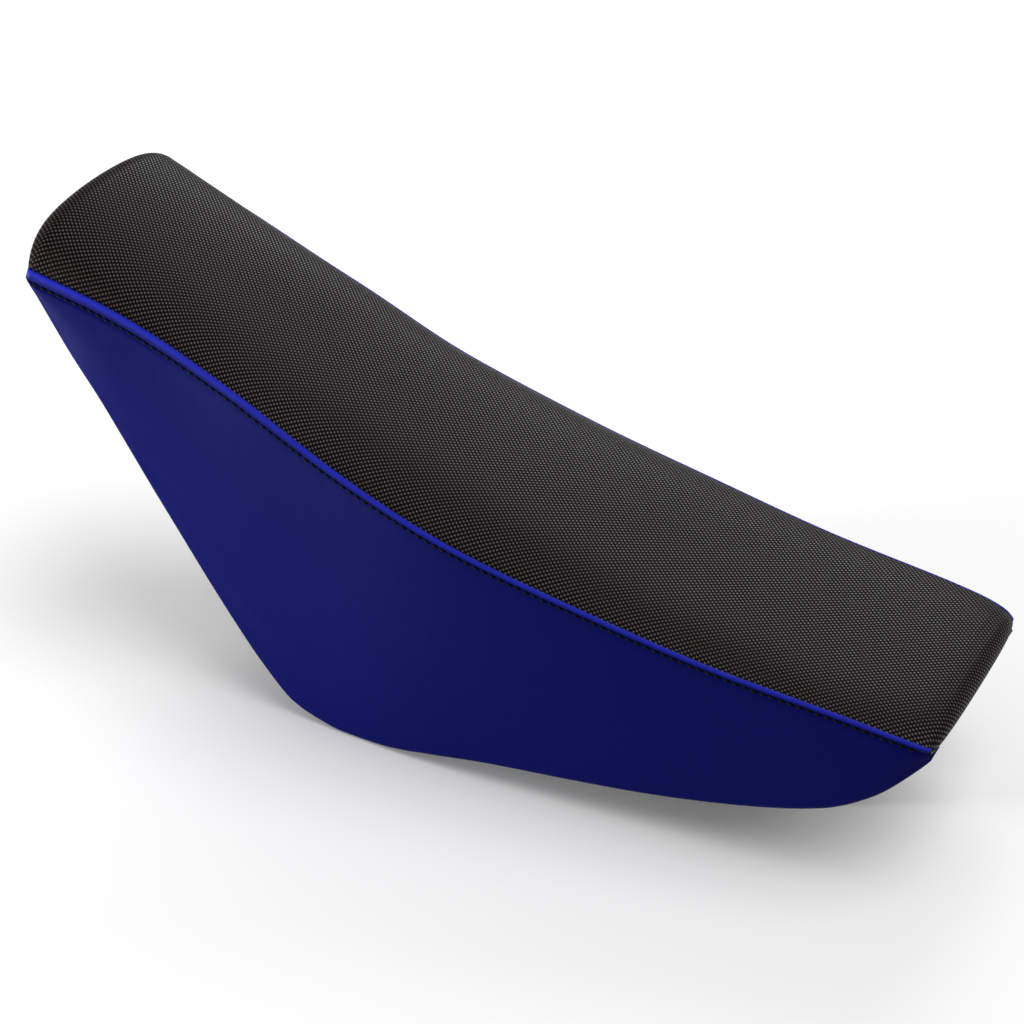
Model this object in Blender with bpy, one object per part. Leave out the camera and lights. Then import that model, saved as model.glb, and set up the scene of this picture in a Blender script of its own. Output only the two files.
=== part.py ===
"""Off-road motorcycle seat: moulded base pan, foam, three-panel cover, brackets and rubbers.

Frame: +X towards the tail, +Z up, Y across, metres. The seat stands on the two deep front
corners of its side covers and on the two rear mounting tabs, all at Z = 0.
"""
import math

import bmesh
import bpy
import numpy as np
from mathutils import Matrix, Vector

# ---------------------------------------------------------------- driving dimensions
GAP = 0.0003                    # clearance between pieces that touch
COVER_THICKNESS = 0.0015        # vinyl with its backing
PAN_THICKNESS = 0.003           # moulded base wall
COVER_INSET = 0.0022            # foam surface below the cover's outer surface
FOAM_CLEARANCE = 0.0016         # foam to the pan's upper surface
FOAM_SIDE_GAP = 0.0014          # foam inside the line from the seam to the rim

NOSE_CENTRE = (-0.2834, 0.2797)  # centre of the rolled nose edge, side view (x, z)
NOSE_RADIUS = 0.014
TAIL_CENTRE = (0.2862, 0.0968)   # centre of the rolled tail edge
TAIL_RADIUS = 0.009
NOSE_TURN = (268, 60)            # degrees the nose roll covers, from its foot to the crown
TAIL_TURN = (82, -88)            # the same for the tail roll
BODY_ENDS = (-0.2700, 0.2790)    # where the rolls meet the crown and the seams

# the same rolls where they reach a seam: small arcs, then the tuck's last point
SEAM_NOSE_CENTRE = (-0.2840, 0.2640)
SEAM_NOSE_RADIUS = 0.003
SEAM_TAIL_CENTRE = (0.2880, 0.0925)
SEAM_TAIL_RADIUS = 0.005
NOSE_TUCK = (-0.2735, 0.2640)    # end of the tuck under the nose, at the middle
NOSE_TUCK_SIDE = (-0.2745, 0.2622)
TAIL_TUCK = (0.2790, 0.0860)
TAIL_TUCK_SIDE = (0.2805, 0.0895)

# side-view lines (x, z) and plan line (x, half width); each has only the points it needs
CROWN_LINE = [(-0.2768, 0.2918), (-0.194, 0.2484), (-0.114, 0.2099), (-0.034, 0.1786),
              (0.046, 0.1543), (0.126, 0.1332), (0.206, 0.1174), (0.2877, 0.1060)]
SEAM_LINE = [(-0.2900, 0.2670), (-0.234, 0.2504), (-0.154, 0.2169), (-0.074, 0.1792),
             (0.006, 0.1521), (0.086, 0.1335), (0.166, 0.1175), (0.262, 0.1041), (0.281, 0.1000),
             (0.293, 0.0950)]
LOWER_LINE = [(-0.2875, 0.2555), (-0.262, 0.2190), (-0.2405, 0.1894), (-0.2035, 0.1288),
              (-0.162, 0.0665), (-0.131, 0.0271), (-0.112, 0.0095), (-0.096, 0.0035),
              (-0.076, 0.0), (-0.042, 0.0), (-0.0168, 0.0055), (0.024, 0.0124),
              (0.080, 0.0182), (0.134, 0.0243), (0.193, 0.0345), (0.235, 0.0460),
              (0.261, 0.0602), (0.2855, 0.0830), (0.292, 0.0905)]
ROOF_LINE = [(-0.280, 0.264), (-0.200, 0.205), (-0.114, 0.145), (-0.034, 0.101),
             (0.046, 0.077), (0.130, 0.071), (0.226, 0.071), (0.290, 0.093)]
HALF_WIDTH = [(-0.290, 0.0808), (-0.194, 0.0758), (-0.114, 0.0792), (0.006, 0.0864),
              (0.086, 0.0854), (0.206, 0.0808), (0.266, 0.0780), (0.283, 0.0755),
              (0.293, 0.0705)]
SIDE_FLARE = 0.009              # how much wider the lower edge is than the seam
FLARE_HEIGHT = 0.060            # side height from which the flare is full
SIDE_BULGE = 0.004              # foam swell halfway down the side cover
BULGE_HEIGHT = 0.100            # side height from which the swell is full

TUCK_NARROWING = 0.004          # the top panel's tucked ends pass inside the side covers
HEM_WIDTH = 0.016               # cover turned in under the pan's rim
SIDE_BELOW_SEAM = 0.0024        # the side cover starts this far below the seam line
SIDE_BEAD = 0.0020              # the folded upper edge stands out this much
BEAD_HEIGHT = 0.004
HEM_CHAMFER = 0.0020            # corner between the side and the hem
EDGE_INSET = 0.0030             # the pan's rim inside the cover's outer surface
LIP_HEIGHT = 0.012              # the pan's outer lip
SHELF_WIDTH = 0.024             # ledge that carries the foam's skirts
RIB_DEPTH = 0.014
RIB_THICKNESS = 0.0025
RIB_ARCH = 0.7                  # depth of a rib at the middle, as a share of RIB_DEPTH
CORNER_DROP = 0.006             # chamfer between the pan's walls and its roof
RIB_STATIONS = (-0.175, -0.110, -0.050, 0.030, 0.095, 0.160, 0.232)

STATION_COUNT = 30
TOP_STATIONS = 22               # stations of the top panel between its rolls
SIDE_ENDS = (-0.2780, 0.2845)
PAN_ENDS = (-0.2700, 0.2780)

FRONT_HOOK_X = -0.205
CATCH_X = -0.005
BUMPER_PLACES = (("tank", -0.140, 0.030), ("middle", 0.060, 0.038), ("rear", 0.130, 0.035))

REAR_TAB_X = 0.195              # centre of the rear mounting tabs
REAR_TAB_Y = 0.028
TAB_WIDTH = 0.030
PLATE = 0.003                   # steel strap thickness
TAB_FOOT = 0.022                # foot of a tab, from the leg inwards
TAB_HOLE_HEIGHT = 0.018
STRAP_BEND = 0.004              # bend radius of the tabs, at the middle of the strap
GROMMET_RADIUS = 0.0080
GROMMET_LIP = 0.0030            # lip of the grommet beyond its groove
GROMMET_HALF = 0.0045           # half its length
COLLAR_RADIUS = 0.0056
COLLAR_BORE = 0.0042
COLLAR_HALF = 0.0052

SCREW_SHANK = 0.0028
SCREW_HOLE = 0.0033
SCREW_HEAD = 0.0060
SCREW_HEAD_HEIGHT = 0.0045
SCREW_TIP = 0.0012              # the shank ends this far above the pan
TEE_BARREL = 0.0040
TEE_HOLE = 0.0043
TEE_FLANGE = 0.0085
TEE_FLANGE_HEIGHT = 0.0018
TEE_DEPTH = 0.0024              # the barrel's depth in the pan
TAB_SCREW_SPACING = 0.018
TAB_SCREW_INSET = 0.014
CATCH_SCREW_Y = 0.012
STRAP_FASTENER_X = 0.012        # rivets and catch screws, from the strap's own place

BUMPER_HEIGHT = 0.014
BUMPER_RADIUS = 0.0110
BUMPER_FACE = 0.0095
BUMPER_NECK = 0.0036
BUMPER_HOLE = 0.0040
BUMPER_HEAD = 0.0058
BUMPER_HEAD_HEIGHT = 0.0030

RIVET_RADIUS = 0.0022
RIVET_HOLE = 0.0026
RIVET_HEAD = 0.0046
RIVET_Y = 0.011

HOOK_WIDTH = 0.036
CATCH_WIDTH = 0.040
CUT_BELOW = 0.012               # cutters reach this far below the roof
CUT_ABOVE = 0.004

FINISHES = {
    "grip_vinyl": ((0.035, 0.031, 0.029), 0.55, 0.0),
    "side_vinyl": ((0.012, 0.035, 0.300), 0.42, 0.0),
    "foam": ((0.62, 0.56, 0.42), 0.95, 0.0),
    "base_plastic": ((0.030, 0.030, 0.032), 0.50, 0.0),
    "bracket_steel": ((0.10, 0.10, 0.11), 0.40, 1.0),
    "zinc_steel": ((0.62, 0.62, 0.60), 0.35, 1.0),
    "rubber": ((0.025, 0.025, 0.025), 0.80, 0.0),
}


# ---------------------------------------------------------------- curves
def line_at(points, x):
    """Smooth curve through the points: cubic between neighbours, level at highs and lows."""
    px = np.array([p[0] for p in points])
    pz = np.array([p[1] for p in points])
    step = np.diff(px)
    slope = np.diff(pz) / step
    tangent = np.zeros(len(px))
    same_sign = slope[:-1] * slope[1:] > 0
    mean = 2 * slope[:-1] * slope[1:] / np.where(same_sign, slope[:-1] + slope[1:], 1)
    tangent[1:-1] = np.where(same_sign, mean, 0)
    tangent[0] = slope[0]
    tangent[-1] = slope[-1]
    x = np.clip(np.asarray(x, float), px[0], px[-1])
    i = np.clip(np.searchsorted(px, x) - 1, 0, len(px) - 2)
    t = (x - px[i]) / step[i]
    rise = (2 * t**3 - 3 * t**2 + 1) * pz[i] + (3 * t**2 - 2 * t**3) * pz[i + 1]
    bend = (t**3 - 2 * t**2 + t) * tangent[i] + (t**3 - t**2) * tangent[i + 1]
    return rise + bend * step[i]


def side_height(x):
    """Height of the side cover, from the lower edge to the seam."""
    return line_at(SEAM_LINE, x) - line_at(LOWER_LINE, x)


def lower_half_width(x):
    """Half width at the lower edge; the flare fades where the side runs out to a point."""
    return line_at(HALF_WIDTH, x) + SIDE_FLARE * np.clip(side_height(x) / FLARE_HEIGHT, 0, 1)


def crown_share(t):
    """Share of the drop from crown to seam, for t from 0 at the middle to 1 at the seam."""
    t = np.abs(t)
    return 0.35 * t**2 + 0.65 * t**6


def stations(first, last, count=STATION_COUNT):
    """Places along the length, closer together towards both ends."""
    turn = np.linspace(0, math.pi, count)
    return (first + last) / 2 - (last - first) / 2 * np.cos(turn)


def side_stations():
    """Stations of the side covers."""
    return stations(*SIDE_ENDS)


def pan_stations():
    """Stations of the pan and foam: those of the side covers, short of the rolled ends."""
    return [x for x in side_stations() if PAN_ENDS[0] < x < PAN_ENDS[1]]


def roof_slope(x):
    """Angle of the pan's roof along the length, positive where it falls to the tail."""
    ahead = line_at(ROOF_LINE, x + 0.004)
    behind = line_at(ROOF_LINE, x - 0.004)
    return math.atan2(float(behind - ahead), 0.008)


# ---------------------------------------------------------------- building tools
def clear_scene():
    for item in list(bpy.data.objects):
        bpy.data.objects.remove(item, do_unlink=True)


def finish(name):
    """The named material, made on first use."""
    colour, roughness, metallic = FINISHES[name]
    material = bpy.data.materials.get(name)
    if material is None:
        material = bpy.data.materials.new(name)
        material.use_nodes = True
        shader = material.node_tree.nodes["Principled BSDF"]
        shader.inputs["Base Color"].default_value = (*colour, 1)
        shader.inputs["Roughness"].default_value = roughness
        shader.inputs["Metallic"].default_value = metallic
    return material


def add_object(name, mesh_data, material, smooth=True):
    """Link a bmesh as a named object with one material, all faces pointing out."""
    bmesh.ops.recalc_face_normals(mesh_data, faces=mesh_data.faces)
    mesh = bpy.data.meshes.new(name)
    mesh_data.to_mesh(mesh)
    mesh_data.free()
    item = bpy.data.objects.new(name, mesh)
    bpy.context.scene.collection.objects.link(item)
    mesh.materials.append(finish(material))
    if smooth:
        mesh.shade_smooth()
        mesh.set_sharp_from_angle(angle=math.radians(35))
    return item


def loft(name, rings, material):
    """Closed solid through rings of points: rows are stations, each row is one closed loop."""
    mesh_data = bmesh.new()
    rows = [[mesh_data.verts.new(point) for point in ring] for ring in rings]
    count = len(rows[0])
    for near, far in zip(rows[:-1], rows[1:]):
        for i in range(count):
            j = (i + 1) % count
            mesh_data.faces.new((near[i], near[j], far[j], far[i]))
    mesh_data.faces.new(rows[0])
    mesh_data.faces.new(rows[-1])
    return add_object(name, mesh_data, material)


def shell(name, outer, thickness, material):
    """Sheet of even thickness under a grid of outer points, closed round its border."""
    along = np.gradient(outer, axis=0)
    across = np.gradient(outer, axis=1)
    normal = np.cross(along, across)
    normal /= np.linalg.norm(normal, axis=2, keepdims=True)
    inner = outer - normal * thickness
    mesh_data = bmesh.new()
    top = [[mesh_data.verts.new(point) for point in row] for row in outer]
    under = [[mesh_data.verts.new(point) for point in row] for row in inner]
    rows = len(top)
    columns = len(top[0])
    for i in range(rows - 1):
        for j in range(columns - 1):
            mesh_data.faces.new((top[i][j], top[i + 1][j], top[i + 1][j + 1], top[i][j + 1]))
            mesh_data.faces.new((under[i][j], under[i][j + 1], under[i + 1][j + 1], under[i + 1][j]))
    border = [(i, 0) for i in range(rows)]
    border += [(rows - 1, j) for j in range(1, columns)]
    border += [(i, columns - 1) for i in range(rows - 2, -1, -1)]
    border += [(0, j) for j in range(columns - 2, 0, -1)]
    for (a, b), (c, d) in zip(border, border[1:] + border[:1]):
        mesh_data.faces.new((top[a][b], under[a][b], under[c][d], top[c][d]))
    return add_object(name, mesh_data, material)


def turned(name, profile, material, segments=16):
    """Round piece about local Z; the profile is (radius, height), closed on the axis or a ring."""
    mesh_data = bmesh.new()
    loops = []
    for radius, height in profile:
        if radius == 0:
            loops.append([mesh_data.verts.new((0, 0, height))])
            continue
        angles = [2 * math.pi * k / segments for k in range(segments)]
        loops.append([mesh_data.verts.new((radius * math.cos(a), radius * math.sin(a), height))
                      for a in angles])
    pairs = list(zip(loops[:-1], loops[1:]))
    if len(loops[0]) > 1:
        pairs.append((loops[-1], loops[0]))
    for lower, upper in pairs:
        for k in range(segments):
            n = (k + 1) % segments
            if len(lower) == 1:
                mesh_data.faces.new((lower[0], upper[n], upper[k]))
            elif len(upper) == 1:
                mesh_data.faces.new((lower[k], lower[n], upper[0]))
            else:
                mesh_data.faces.new((lower[k], lower[n], upper[n], upper[k]))
    return add_object(name, mesh_data, material)


def plate(name, outline, thickness, axis, material):
    """Flat plate: the outline is in the plane across the axis, the thickness runs along it."""
    mesh_data = bmesh.new()
    half = thickness / 2
    place = {"Y": lambda a, b, h: (a, h, b), "Z": lambda a, b, h: (a, b, h)}[axis]
    low = [mesh_data.verts.new(place(a, b, -half)) for a, b in outline]
    high = [mesh_data.verts.new(place(a, b, half)) for a, b in outline]
    mesh_data.faces.new(low)
    mesh_data.faces.new(high)
    for i in range(len(outline)):
        j = (i + 1) % len(outline)
        mesh_data.faces.new((low[i], low[j], high[j], high[i]))
    return add_object(name, mesh_data, material, smooth=False)


def set_place(item, location, pitch=0.0, roll=0.0):
    """Move an object, turned by pitch about Y and roll about X."""
    turn = Matrix.Rotation(pitch, 4, "Y") @ Matrix.Rotation(roll, 4, "X")
    item.matrix_world = Matrix.Translation(location) @ turn
    return item


def cutter(name, radius, low, high, segments=16):
    """Plain cylinder about local Z that cuts a hole and isn't part of the seat."""
    item = turned(name, [(0, low), (radius, low), (radius, high), (0, high)], "zinc_steel", segments)
    item.hide_render = True
    item.display_type = "WIRE"
    return item


def combine(target, tool, operation):
    """Boolean one object with another."""
    step = target.modifiers.new(tool.name, "BOOLEAN")
    step.operation = operation
    step.solver = "EXACT"
    step.object = tool


# ---------------------------------------------------------------- cover
def arc(centre, radius, turn):
    """Points (x, z) round a centre, by angles in radians."""
    return np.array(centre) + radius * np.stack([np.cos(turn), np.sin(turn)], axis=-1)


def top_grid():
    """Outer surface of the top panel, rolled over the nose and the tail, with a short tuck."""
    nose_turn = np.radians(np.linspace(*NOSE_TURN, 8))
    tail_turn = np.radians(np.linspace(*TAIL_TURN, 6))
    body = stations(*BODY_ENDS, TOP_STATIONS)
    crown = np.stack([body, line_at(CROWN_LINE, body)], axis=-1)
    shoulder = np.stack([body, line_at(SEAM_LINE, body)], axis=-1)
    middle = np.concatenate([[NOSE_TUCK], arc(NOSE_CENTRE, NOSE_RADIUS, nose_turn), crown,
                             arc(TAIL_CENTRE, TAIL_RADIUS, tail_turn), [TAIL_TUCK]])
    seam = np.concatenate([[NOSE_TUCK_SIDE], arc(SEAM_NOSE_CENTRE, SEAM_NOSE_RADIUS, nose_turn),
                           shoulder, arc(SEAM_TAIL_CENTRE, SEAM_TAIL_RADIUS, tail_turn),
                           [TAIL_TUCK_SIDE]])
    t = np.sin(np.linspace(-1, 1, 17) * math.pi / 2)
    share = crown_share(t)
    half = line_at(HALF_WIDTH, seam[:, 0])
    half[0] -= TUCK_NARROWING
    half[-1] -= TUCK_NARROWING
    flat = middle[:, None] + (seam - middle)[:, None] * share[None, :, None]
    return np.stack([flat[:, :, 0], half[:, None] * t, flat[:, :, 1]], axis=-1)


def side_section(x):
    """Outer line of a side cover at one station: seam bead, swelled side, turned-in hem."""
    seam_y = float(line_at(HALF_WIDTH, x))
    seam_z = float(line_at(SEAM_LINE, x)) - SIDE_BELOW_SEAM
    low_y = float(lower_half_width(x))
    low_z = float(line_at(LOWER_LINE, x))
    height = seam_z - low_z
    bead = min(BEAD_HEIGHT, height * 0.25)
    points = [(seam_y, seam_z), (seam_y + SIDE_BEAD, seam_z - 0.2 * bead)]
    points.append((seam_y + SIDE_BEAD, seam_z - 0.8 * bead))
    for share in (0.0, 0.25, 0.5, 0.75):
        swell = SIDE_BULGE * math.sin(math.pi * share) * min(1, height / BULGE_HEIGHT)
        y = seam_y + (low_y - seam_y) * share + swell
        z = (seam_z - 1.4 * bead) * (1 - share) + (low_z + HEM_CHAMFER) * share
        points.append((y, z))
    points.append((low_y, low_z + HEM_CHAMFER))
    points.append((low_y - HEM_CHAMFER, low_z))
    points.append((low_y - HEM_WIDTH, low_z))
    return points


def side_ring(x, side):
    """Closed loop of a side cover at one station, its inner line a cover thickness inside."""
    outer = side_section(x)
    seam_y = outer[0][0] - COVER_THICKNESS
    inner = [(y - COVER_THICKNESS, z) for y, z in outer[:-3]]
    inner[1] = (seam_y, outer[1][1])
    inner[2] = (seam_y, outer[2][1])
    low_y, low_z = outer[-3]
    hem_z = outer[-1][1] + COVER_THICKNESS
    inner.append((low_y - COVER_THICKNESS, low_z + GAP))
    inner.append((low_y - COVER_THICKNESS - 3 * GAP, hem_z))
    inner.append((outer[-1][0], hem_z))
    loop = outer + inner[::-1]
    return [(x, side * y, z) for y, z in loop]


def make_covers():
    shell("top_cover", top_grid(), COVER_THICKNESS, "grip_vinyl")
    places = side_stations()
    for side, word in ((-1, "left"), (1, "right")):
        loft("side_cover_" + word, [side_ring(x, side) for x in places], "side_vinyl")


# ---------------------------------------------------------------- base pan and foam
def pan_half(x, offset):
    """Half of the pan's section from the lip to the middle, moved in or up by an offset."""
    low_z = float(line_at(LOWER_LINE, x)) + COVER_THICKNESS + 2 * GAP
    edge_y = float(lower_half_width(x)) - EDGE_INSET
    roof_z = float(line_at(ROOF_LINE, x))
    depth = roof_z - low_z
    lip = min(LIP_HEIGHT, 0.45 * depth)
    wall_y = edge_y - SHELF_WIDTH
    slope = min(CORNER_DROP, 0.2 * depth)
    shelf_z = low_z + lip
    return [(edge_y - offset, low_z),
            (edge_y - offset, shelf_z - offset),
            (wall_y - offset, shelf_z - offset),
            (wall_y - slope - offset, roof_z - slope - offset),
            (wall_y - 2 * slope - 0.6 * offset, roof_z - offset),
            (0.0, roof_z - offset)]


def pan_ring(x):
    """Closed loop of the pan: upper line from left to right, lower line back."""
    upper = pan_half(x, 0)
    lower = pan_half(x, PAN_THICKNESS)
    loop = [(-y, z) for y, z in upper]
    loop += [(y, z) for y, z in upper[-2::-1]]
    loop += [(y, z) for y, z in lower]
    loop += [(-y, z) for y, z in lower[-2::-1]]
    return [(x, y, z) for y, z in loop]


def rib_outline(x):
    """Cross rib under the roof, its ends and top sunk into the pan's wall."""
    lower = pan_half(x, PAN_THICKNESS / 2)
    wall_y, corner_y = lower[3][0], lower[4][0]
    roof_z, corner_z = lower[5][1], lower[3][1]
    foot_z = min(roof_z - RIB_DEPTH, corner_z)
    middle_z = roof_z - RIB_DEPTH * RIB_ARCH
    return [(-wall_y, foot_z), (-wall_y, corner_z), (-corner_y, roof_z), (corner_y, roof_z),
            (wall_y, corner_z), (wall_y, foot_z), (wall_y * 0.6, middle_z), (-wall_y * 0.6, middle_z)]


def make_pan():
    """Moulded pan with cross ribs joined on."""
    pan = loft("base_pan", [pan_ring(x) for x in pan_stations()], "base_plastic")
    for number, x in enumerate(RIB_STATIONS):
        half = RIB_THICKNESS / 2
        ring = rib_outline(x)
        rings = [[(x + shift, y, z) for y, z in ring] for shift in (-half, half)]
        rib = loft("rib_tool_%d" % number, rings, "base_plastic")
        rib.hide_render = True
        rib.display_type = "WIRE"
        combine(pan, rib, "UNION")
    return pan


def foam_ring(x):
    """Foam loop: outside under the cover, skirts down to the shelf, underside on the pan."""
    t = np.sin(np.linspace(-1, 1, 13) * math.pi / 2)
    crown = float(line_at(CROWN_LINE, x)) - COVER_INSET
    seam = float(line_at(SEAM_LINE, x)) - COVER_INSET - 0.0008
    half = float(line_at(HALF_WIDTH, x)) - COVER_INSET
    over = [(half * v, crown + (seam - crown) * crown_share(v)) for v in t]
    pan = pan_half(x, 0)
    side = []
    top_z = seam - 0.004
    shelf_y, shelf_z = pan[1]
    for share in (0.0, 0.35, 0.7, 1.0):
        height = side_height(x)
        swell = 0.6 * SIDE_BULGE * math.sin(math.pi * share) * min(1, height / BULGE_HEIGHT)
        y = (half - FOAM_SIDE_GAP / 2) * (1 - share) + (shelf_y - FOAM_SIDE_GAP) * share + swell
        side.append((y, top_z * (1 - share) + (shelf_z + 0.002) * share))
    under = [(y + FOAM_CLEARANCE, z + FOAM_CLEARANCE) for y, z in pan[2:5]]
    under.append((0.0, pan[5][1] + FOAM_CLEARANCE))
    side.append((shelf_y - 2 * FOAM_SIDE_GAP, shelf_z + FOAM_CLEARANCE))
    loop = over + side + under
    loop += [(-y, z) for y, z in under[-2::-1]]
    loop += [(-y, z) for y, z in side[::-1]]
    return [(x, y, z) for y, z in loop]


def make_foam():
    return loft("foam_cushion", [foam_ring(x) for x in pan_stations()], "foam")


# ---------------------------------------------------------------- fasteners and rubbers
def roof_point(x, y, below=0.0):
    """Point on the pan's roof, moved down square to the roof, and the roof's pitch."""
    pitch = roof_slope(x)
    point = Vector((x, y, float(line_at(ROOF_LINE, x))))
    down = Vector((-math.sin(pitch), 0, -math.cos(pitch)))
    return point + down * below, pitch


def roof_hole(pan, foam, name, x, y, radius, pocket_radius, pocket_depth):
    """Hole through the pan and a pocket in the foam above it."""
    place, pitch = roof_point(x, y)
    hole = set_place(cutter(name + "_hole", radius, -CUT_BELOW, CUT_ABOVE), place, pitch)
    combine(pan, hole, "DIFFERENCE")
    pocket = set_place(cutter(name + "_pocket", pocket_radius, -CUT_ABOVE, pocket_depth), place, pitch)
    combine(foam, pocket, "DIFFERENCE")


def make_screw(name, x, y, stack, pan, foam):
    """Screw up through a bracket of the given stack thickness into a tee nut on the pan."""
    base, pitch = roof_point(x, y, PAN_THICKNESS + stack)
    tip = PAN_THICKNESS + stack + SCREW_TIP
    head = [(0, -SCREW_HEAD_HEIGHT), (SCREW_HEAD * 0.6, -SCREW_HEAD_HEIGHT),
            (SCREW_HEAD * 0.93, -SCREW_HEAD_HEIGHT * 0.67), (SCREW_HEAD, -GAP),
            (SCREW_SHANK, -GAP), (SCREW_SHANK, tip), (0, tip)]
    set_place(turned(name, head, "zinc_steel"), base, pitch)
    nut = [(SCREW_HOLE, -TEE_DEPTH), (TEE_BARREL, -TEE_DEPTH), (TEE_BARREL, 2 * GAP),
           (TEE_FLANGE, 2 * GAP), (TEE_FLANGE, TEE_FLANGE_HEIGHT),
           (SCREW_HOLE, TEE_FLANGE_HEIGHT)]
    place, pitch = roof_point(x, y)
    set_place(turned(name.replace("screw", "tee_nut"), nut, "zinc_steel"), place, pitch)
    roof_hole(pan, foam, name, x, y, TEE_HOLE, TEE_FLANGE + 0.0007, TEE_FLANGE_HEIGHT + 0.0008)


def make_bumper(name, x, y, pan, foam):
    """Push-in rubber: a flat-faced foot under the roof, a neck, and a head above it."""
    place, pitch = roof_point(x, y)
    top = -PAN_THICKNESS - GAP
    foot = top - BUMPER_HEIGHT
    profile = [(0, foot), (BUMPER_FACE, foot), (BUMPER_RADIUS, foot + 0.002),
               (BUMPER_RADIUS, top), (BUMPER_NECK, top), (BUMPER_NECK, 2 * GAP),
               (BUMPER_HEAD, 2 * GAP), (BUMPER_HEAD * 0.75, BUMPER_HEAD_HEIGHT),
               (0, BUMPER_HEAD_HEIGHT)]
    set_place(turned(name, profile, "rubber", 18), place, pitch)
    pocket = BUMPER_HEAD + 0.0008
    roof_hole(pan, foam, name, x, y, BUMPER_HOLE, pocket, BUMPER_HEAD_HEIGHT + 0.0008)


def make_rivet(name, x, y, stack, pan, foam):
    """Closed rivet through a bracket and the pan, a low head on each side."""
    place, pitch = roof_point(x, y)
    low = -PAN_THICKNESS - stack - GAP
    profile = [(0, low - 0.0016), (0.0030, low - 0.0014), (RIVET_HEAD, low - 0.0002),
               (RIVET_HEAD, low), (RIVET_RADIUS, low), (RIVET_RADIUS, GAP), (0.0042, GAP),
               (0.0030, 0.0014), (0, 0.0016)]
    set_place(turned(name, profile, "zinc_steel"), place, pitch)
    roof_hole(pan, foam, name, x, y, RIVET_HOLE, RIVET_HEAD + 0.0006, 0.0024)


# ---------------------------------------------------------------- brackets
def drill(item, name, x, y, radius):
    """Hole through a bracket, square to the roof."""
    place, pitch = roof_point(x, y)
    tool = set_place(cutter(name + "_drill", radius, -CUT_BELOW - PLATE, CUT_ABOVE), place, pitch)
    combine(item, tool, "DIFFERENCE")


def folded_strap(name, line, thickness, width, material):
    """Strap of even thickness bent along a side-view line of (x, z), extruded across Y."""
    points = np.array(line)
    along = np.gradient(points, axis=0)
    along /= np.linalg.norm(along, axis=1, keepdims=True)
    normal = np.stack([-along[:, 1], along[:, 0]], axis=1)
    upper = points + normal * thickness / 2
    lower = points - normal * thickness / 2
    outline = np.concatenate([upper, lower[::-1]])
    return plate(name, [tuple(p) for p in outline], width, "Y", material)


def bend(centre, radius, start, end, steps=5):
    """Points of a bend, by its centre, radius and two angles in degrees."""
    turn = np.radians(np.linspace(start, end, steps))
    return [(centre[0] + radius * math.cos(a), centre[1] + radius * math.sin(a)) for a in turn]


def make_rear_tab(side, word, pan, foam):
    """Angle bracket: a foot under the roof and a leg down to the ground, with a grommet hole."""
    top = float(line_at(ROOF_LINE, REAR_TAB_X)) - PAN_THICKNESS - GAP - PLATE / 2
    line = [(-TAB_FOOT, top)]
    line += bend((-STRAP_BEND, top - STRAP_BEND), STRAP_BEND, 90, 0)
    line += [(0.0, 0.0)]
    tab = folded_strap("rear_tab_" + word, line, PLATE, TAB_WIDTH, "bracket_steel")
    turn = Matrix.Rotation(math.radians(90 if side > 0 else -90), 4, "Z")
    tab.matrix_world = Matrix.Translation((REAR_TAB_X, side * REAR_TAB_Y, 0)) @ turn
    hole = cutter("rear_tab_%s_bore" % word, GROMMET_RADIUS + GAP, -0.01, 0.01, 20)
    centre = (REAR_TAB_X, side * REAR_TAB_Y, TAB_HOLE_HEIGHT)
    set_place(hole, centre, 0, math.radians(90))
    combine(tab, hole, "DIFFERENCE")
    lip = GROMMET_RADIUS + GROMMET_LIP
    face = PLATE / 2 + GAP
    bore = COLLAR_RADIUS + GAP
    grommet = [(bore, -GROMMET_HALF), (lip, -GROMMET_HALF), (lip, -face),
               (GROMMET_RADIUS, -face), (GROMMET_RADIUS, face), (lip, face),
               (lip, GROMMET_HALF), (bore, GROMMET_HALF)]
    ring = turned("rear_grommet_" + word, grommet, "rubber", 20)
    set_place(ring, centre, 0, math.radians(90))
    collar = [(COLLAR_BORE, -COLLAR_HALF), (COLLAR_RADIUS, -COLLAR_HALF),
              (COLLAR_RADIUS, COLLAR_HALF), (COLLAR_BORE, COLLAR_HALF)]
    set_place(turned("rear_collar_" + word, collar, "zinc_steel", 20), centre, 0, math.radians(90))
    for number, shift in ((1, -TAB_SCREW_SPACING / 2), (2, TAB_SCREW_SPACING / 2)):
        name = "rear_screw_%s_%d" % (word, number)
        x = REAR_TAB_X + shift
        y = side * (REAR_TAB_Y - TAB_SCREW_INSET)
        drill(tab, name, x, y, SCREW_HOLE)
        make_screw(name, x, y, PLATE + GAP, pan, foam)


def make_front_hook(pan, foam):
    """Tank hook: a flat tongue under the sloping roof that turns down and forward at its end."""
    place, pitch = roof_point(FRONT_HOOK_X, 0.0, PAN_THICKNESS + GAP)
    line = [(0.026, -PLATE / 2), (-0.022, -PLATE / 2)]
    line += bend((-0.022, -PLATE / 2 - 0.005), 0.005, 90, 180)[1:]
    line += bend((-0.031, -0.0175), 0.004, 0, -90)
    line += [(-0.049, -0.0215)]
    hook = folded_strap("front_hook", line[::-1], PLATE, HOOK_WIDTH, "bracket_steel")
    set_place(hook, place, pitch)
    for side, word in ((-1, "left"), (1, "right")):
        name = "front_rivet_" + word
        x = FRONT_HOOK_X + STRAP_FASTENER_X * math.cos(pitch)
        drill(hook, name, x, side * RIVET_Y, RIVET_HOLE)
        make_rivet(name, x, side * RIVET_Y, PLATE + GAP, pan, foam)


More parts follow.
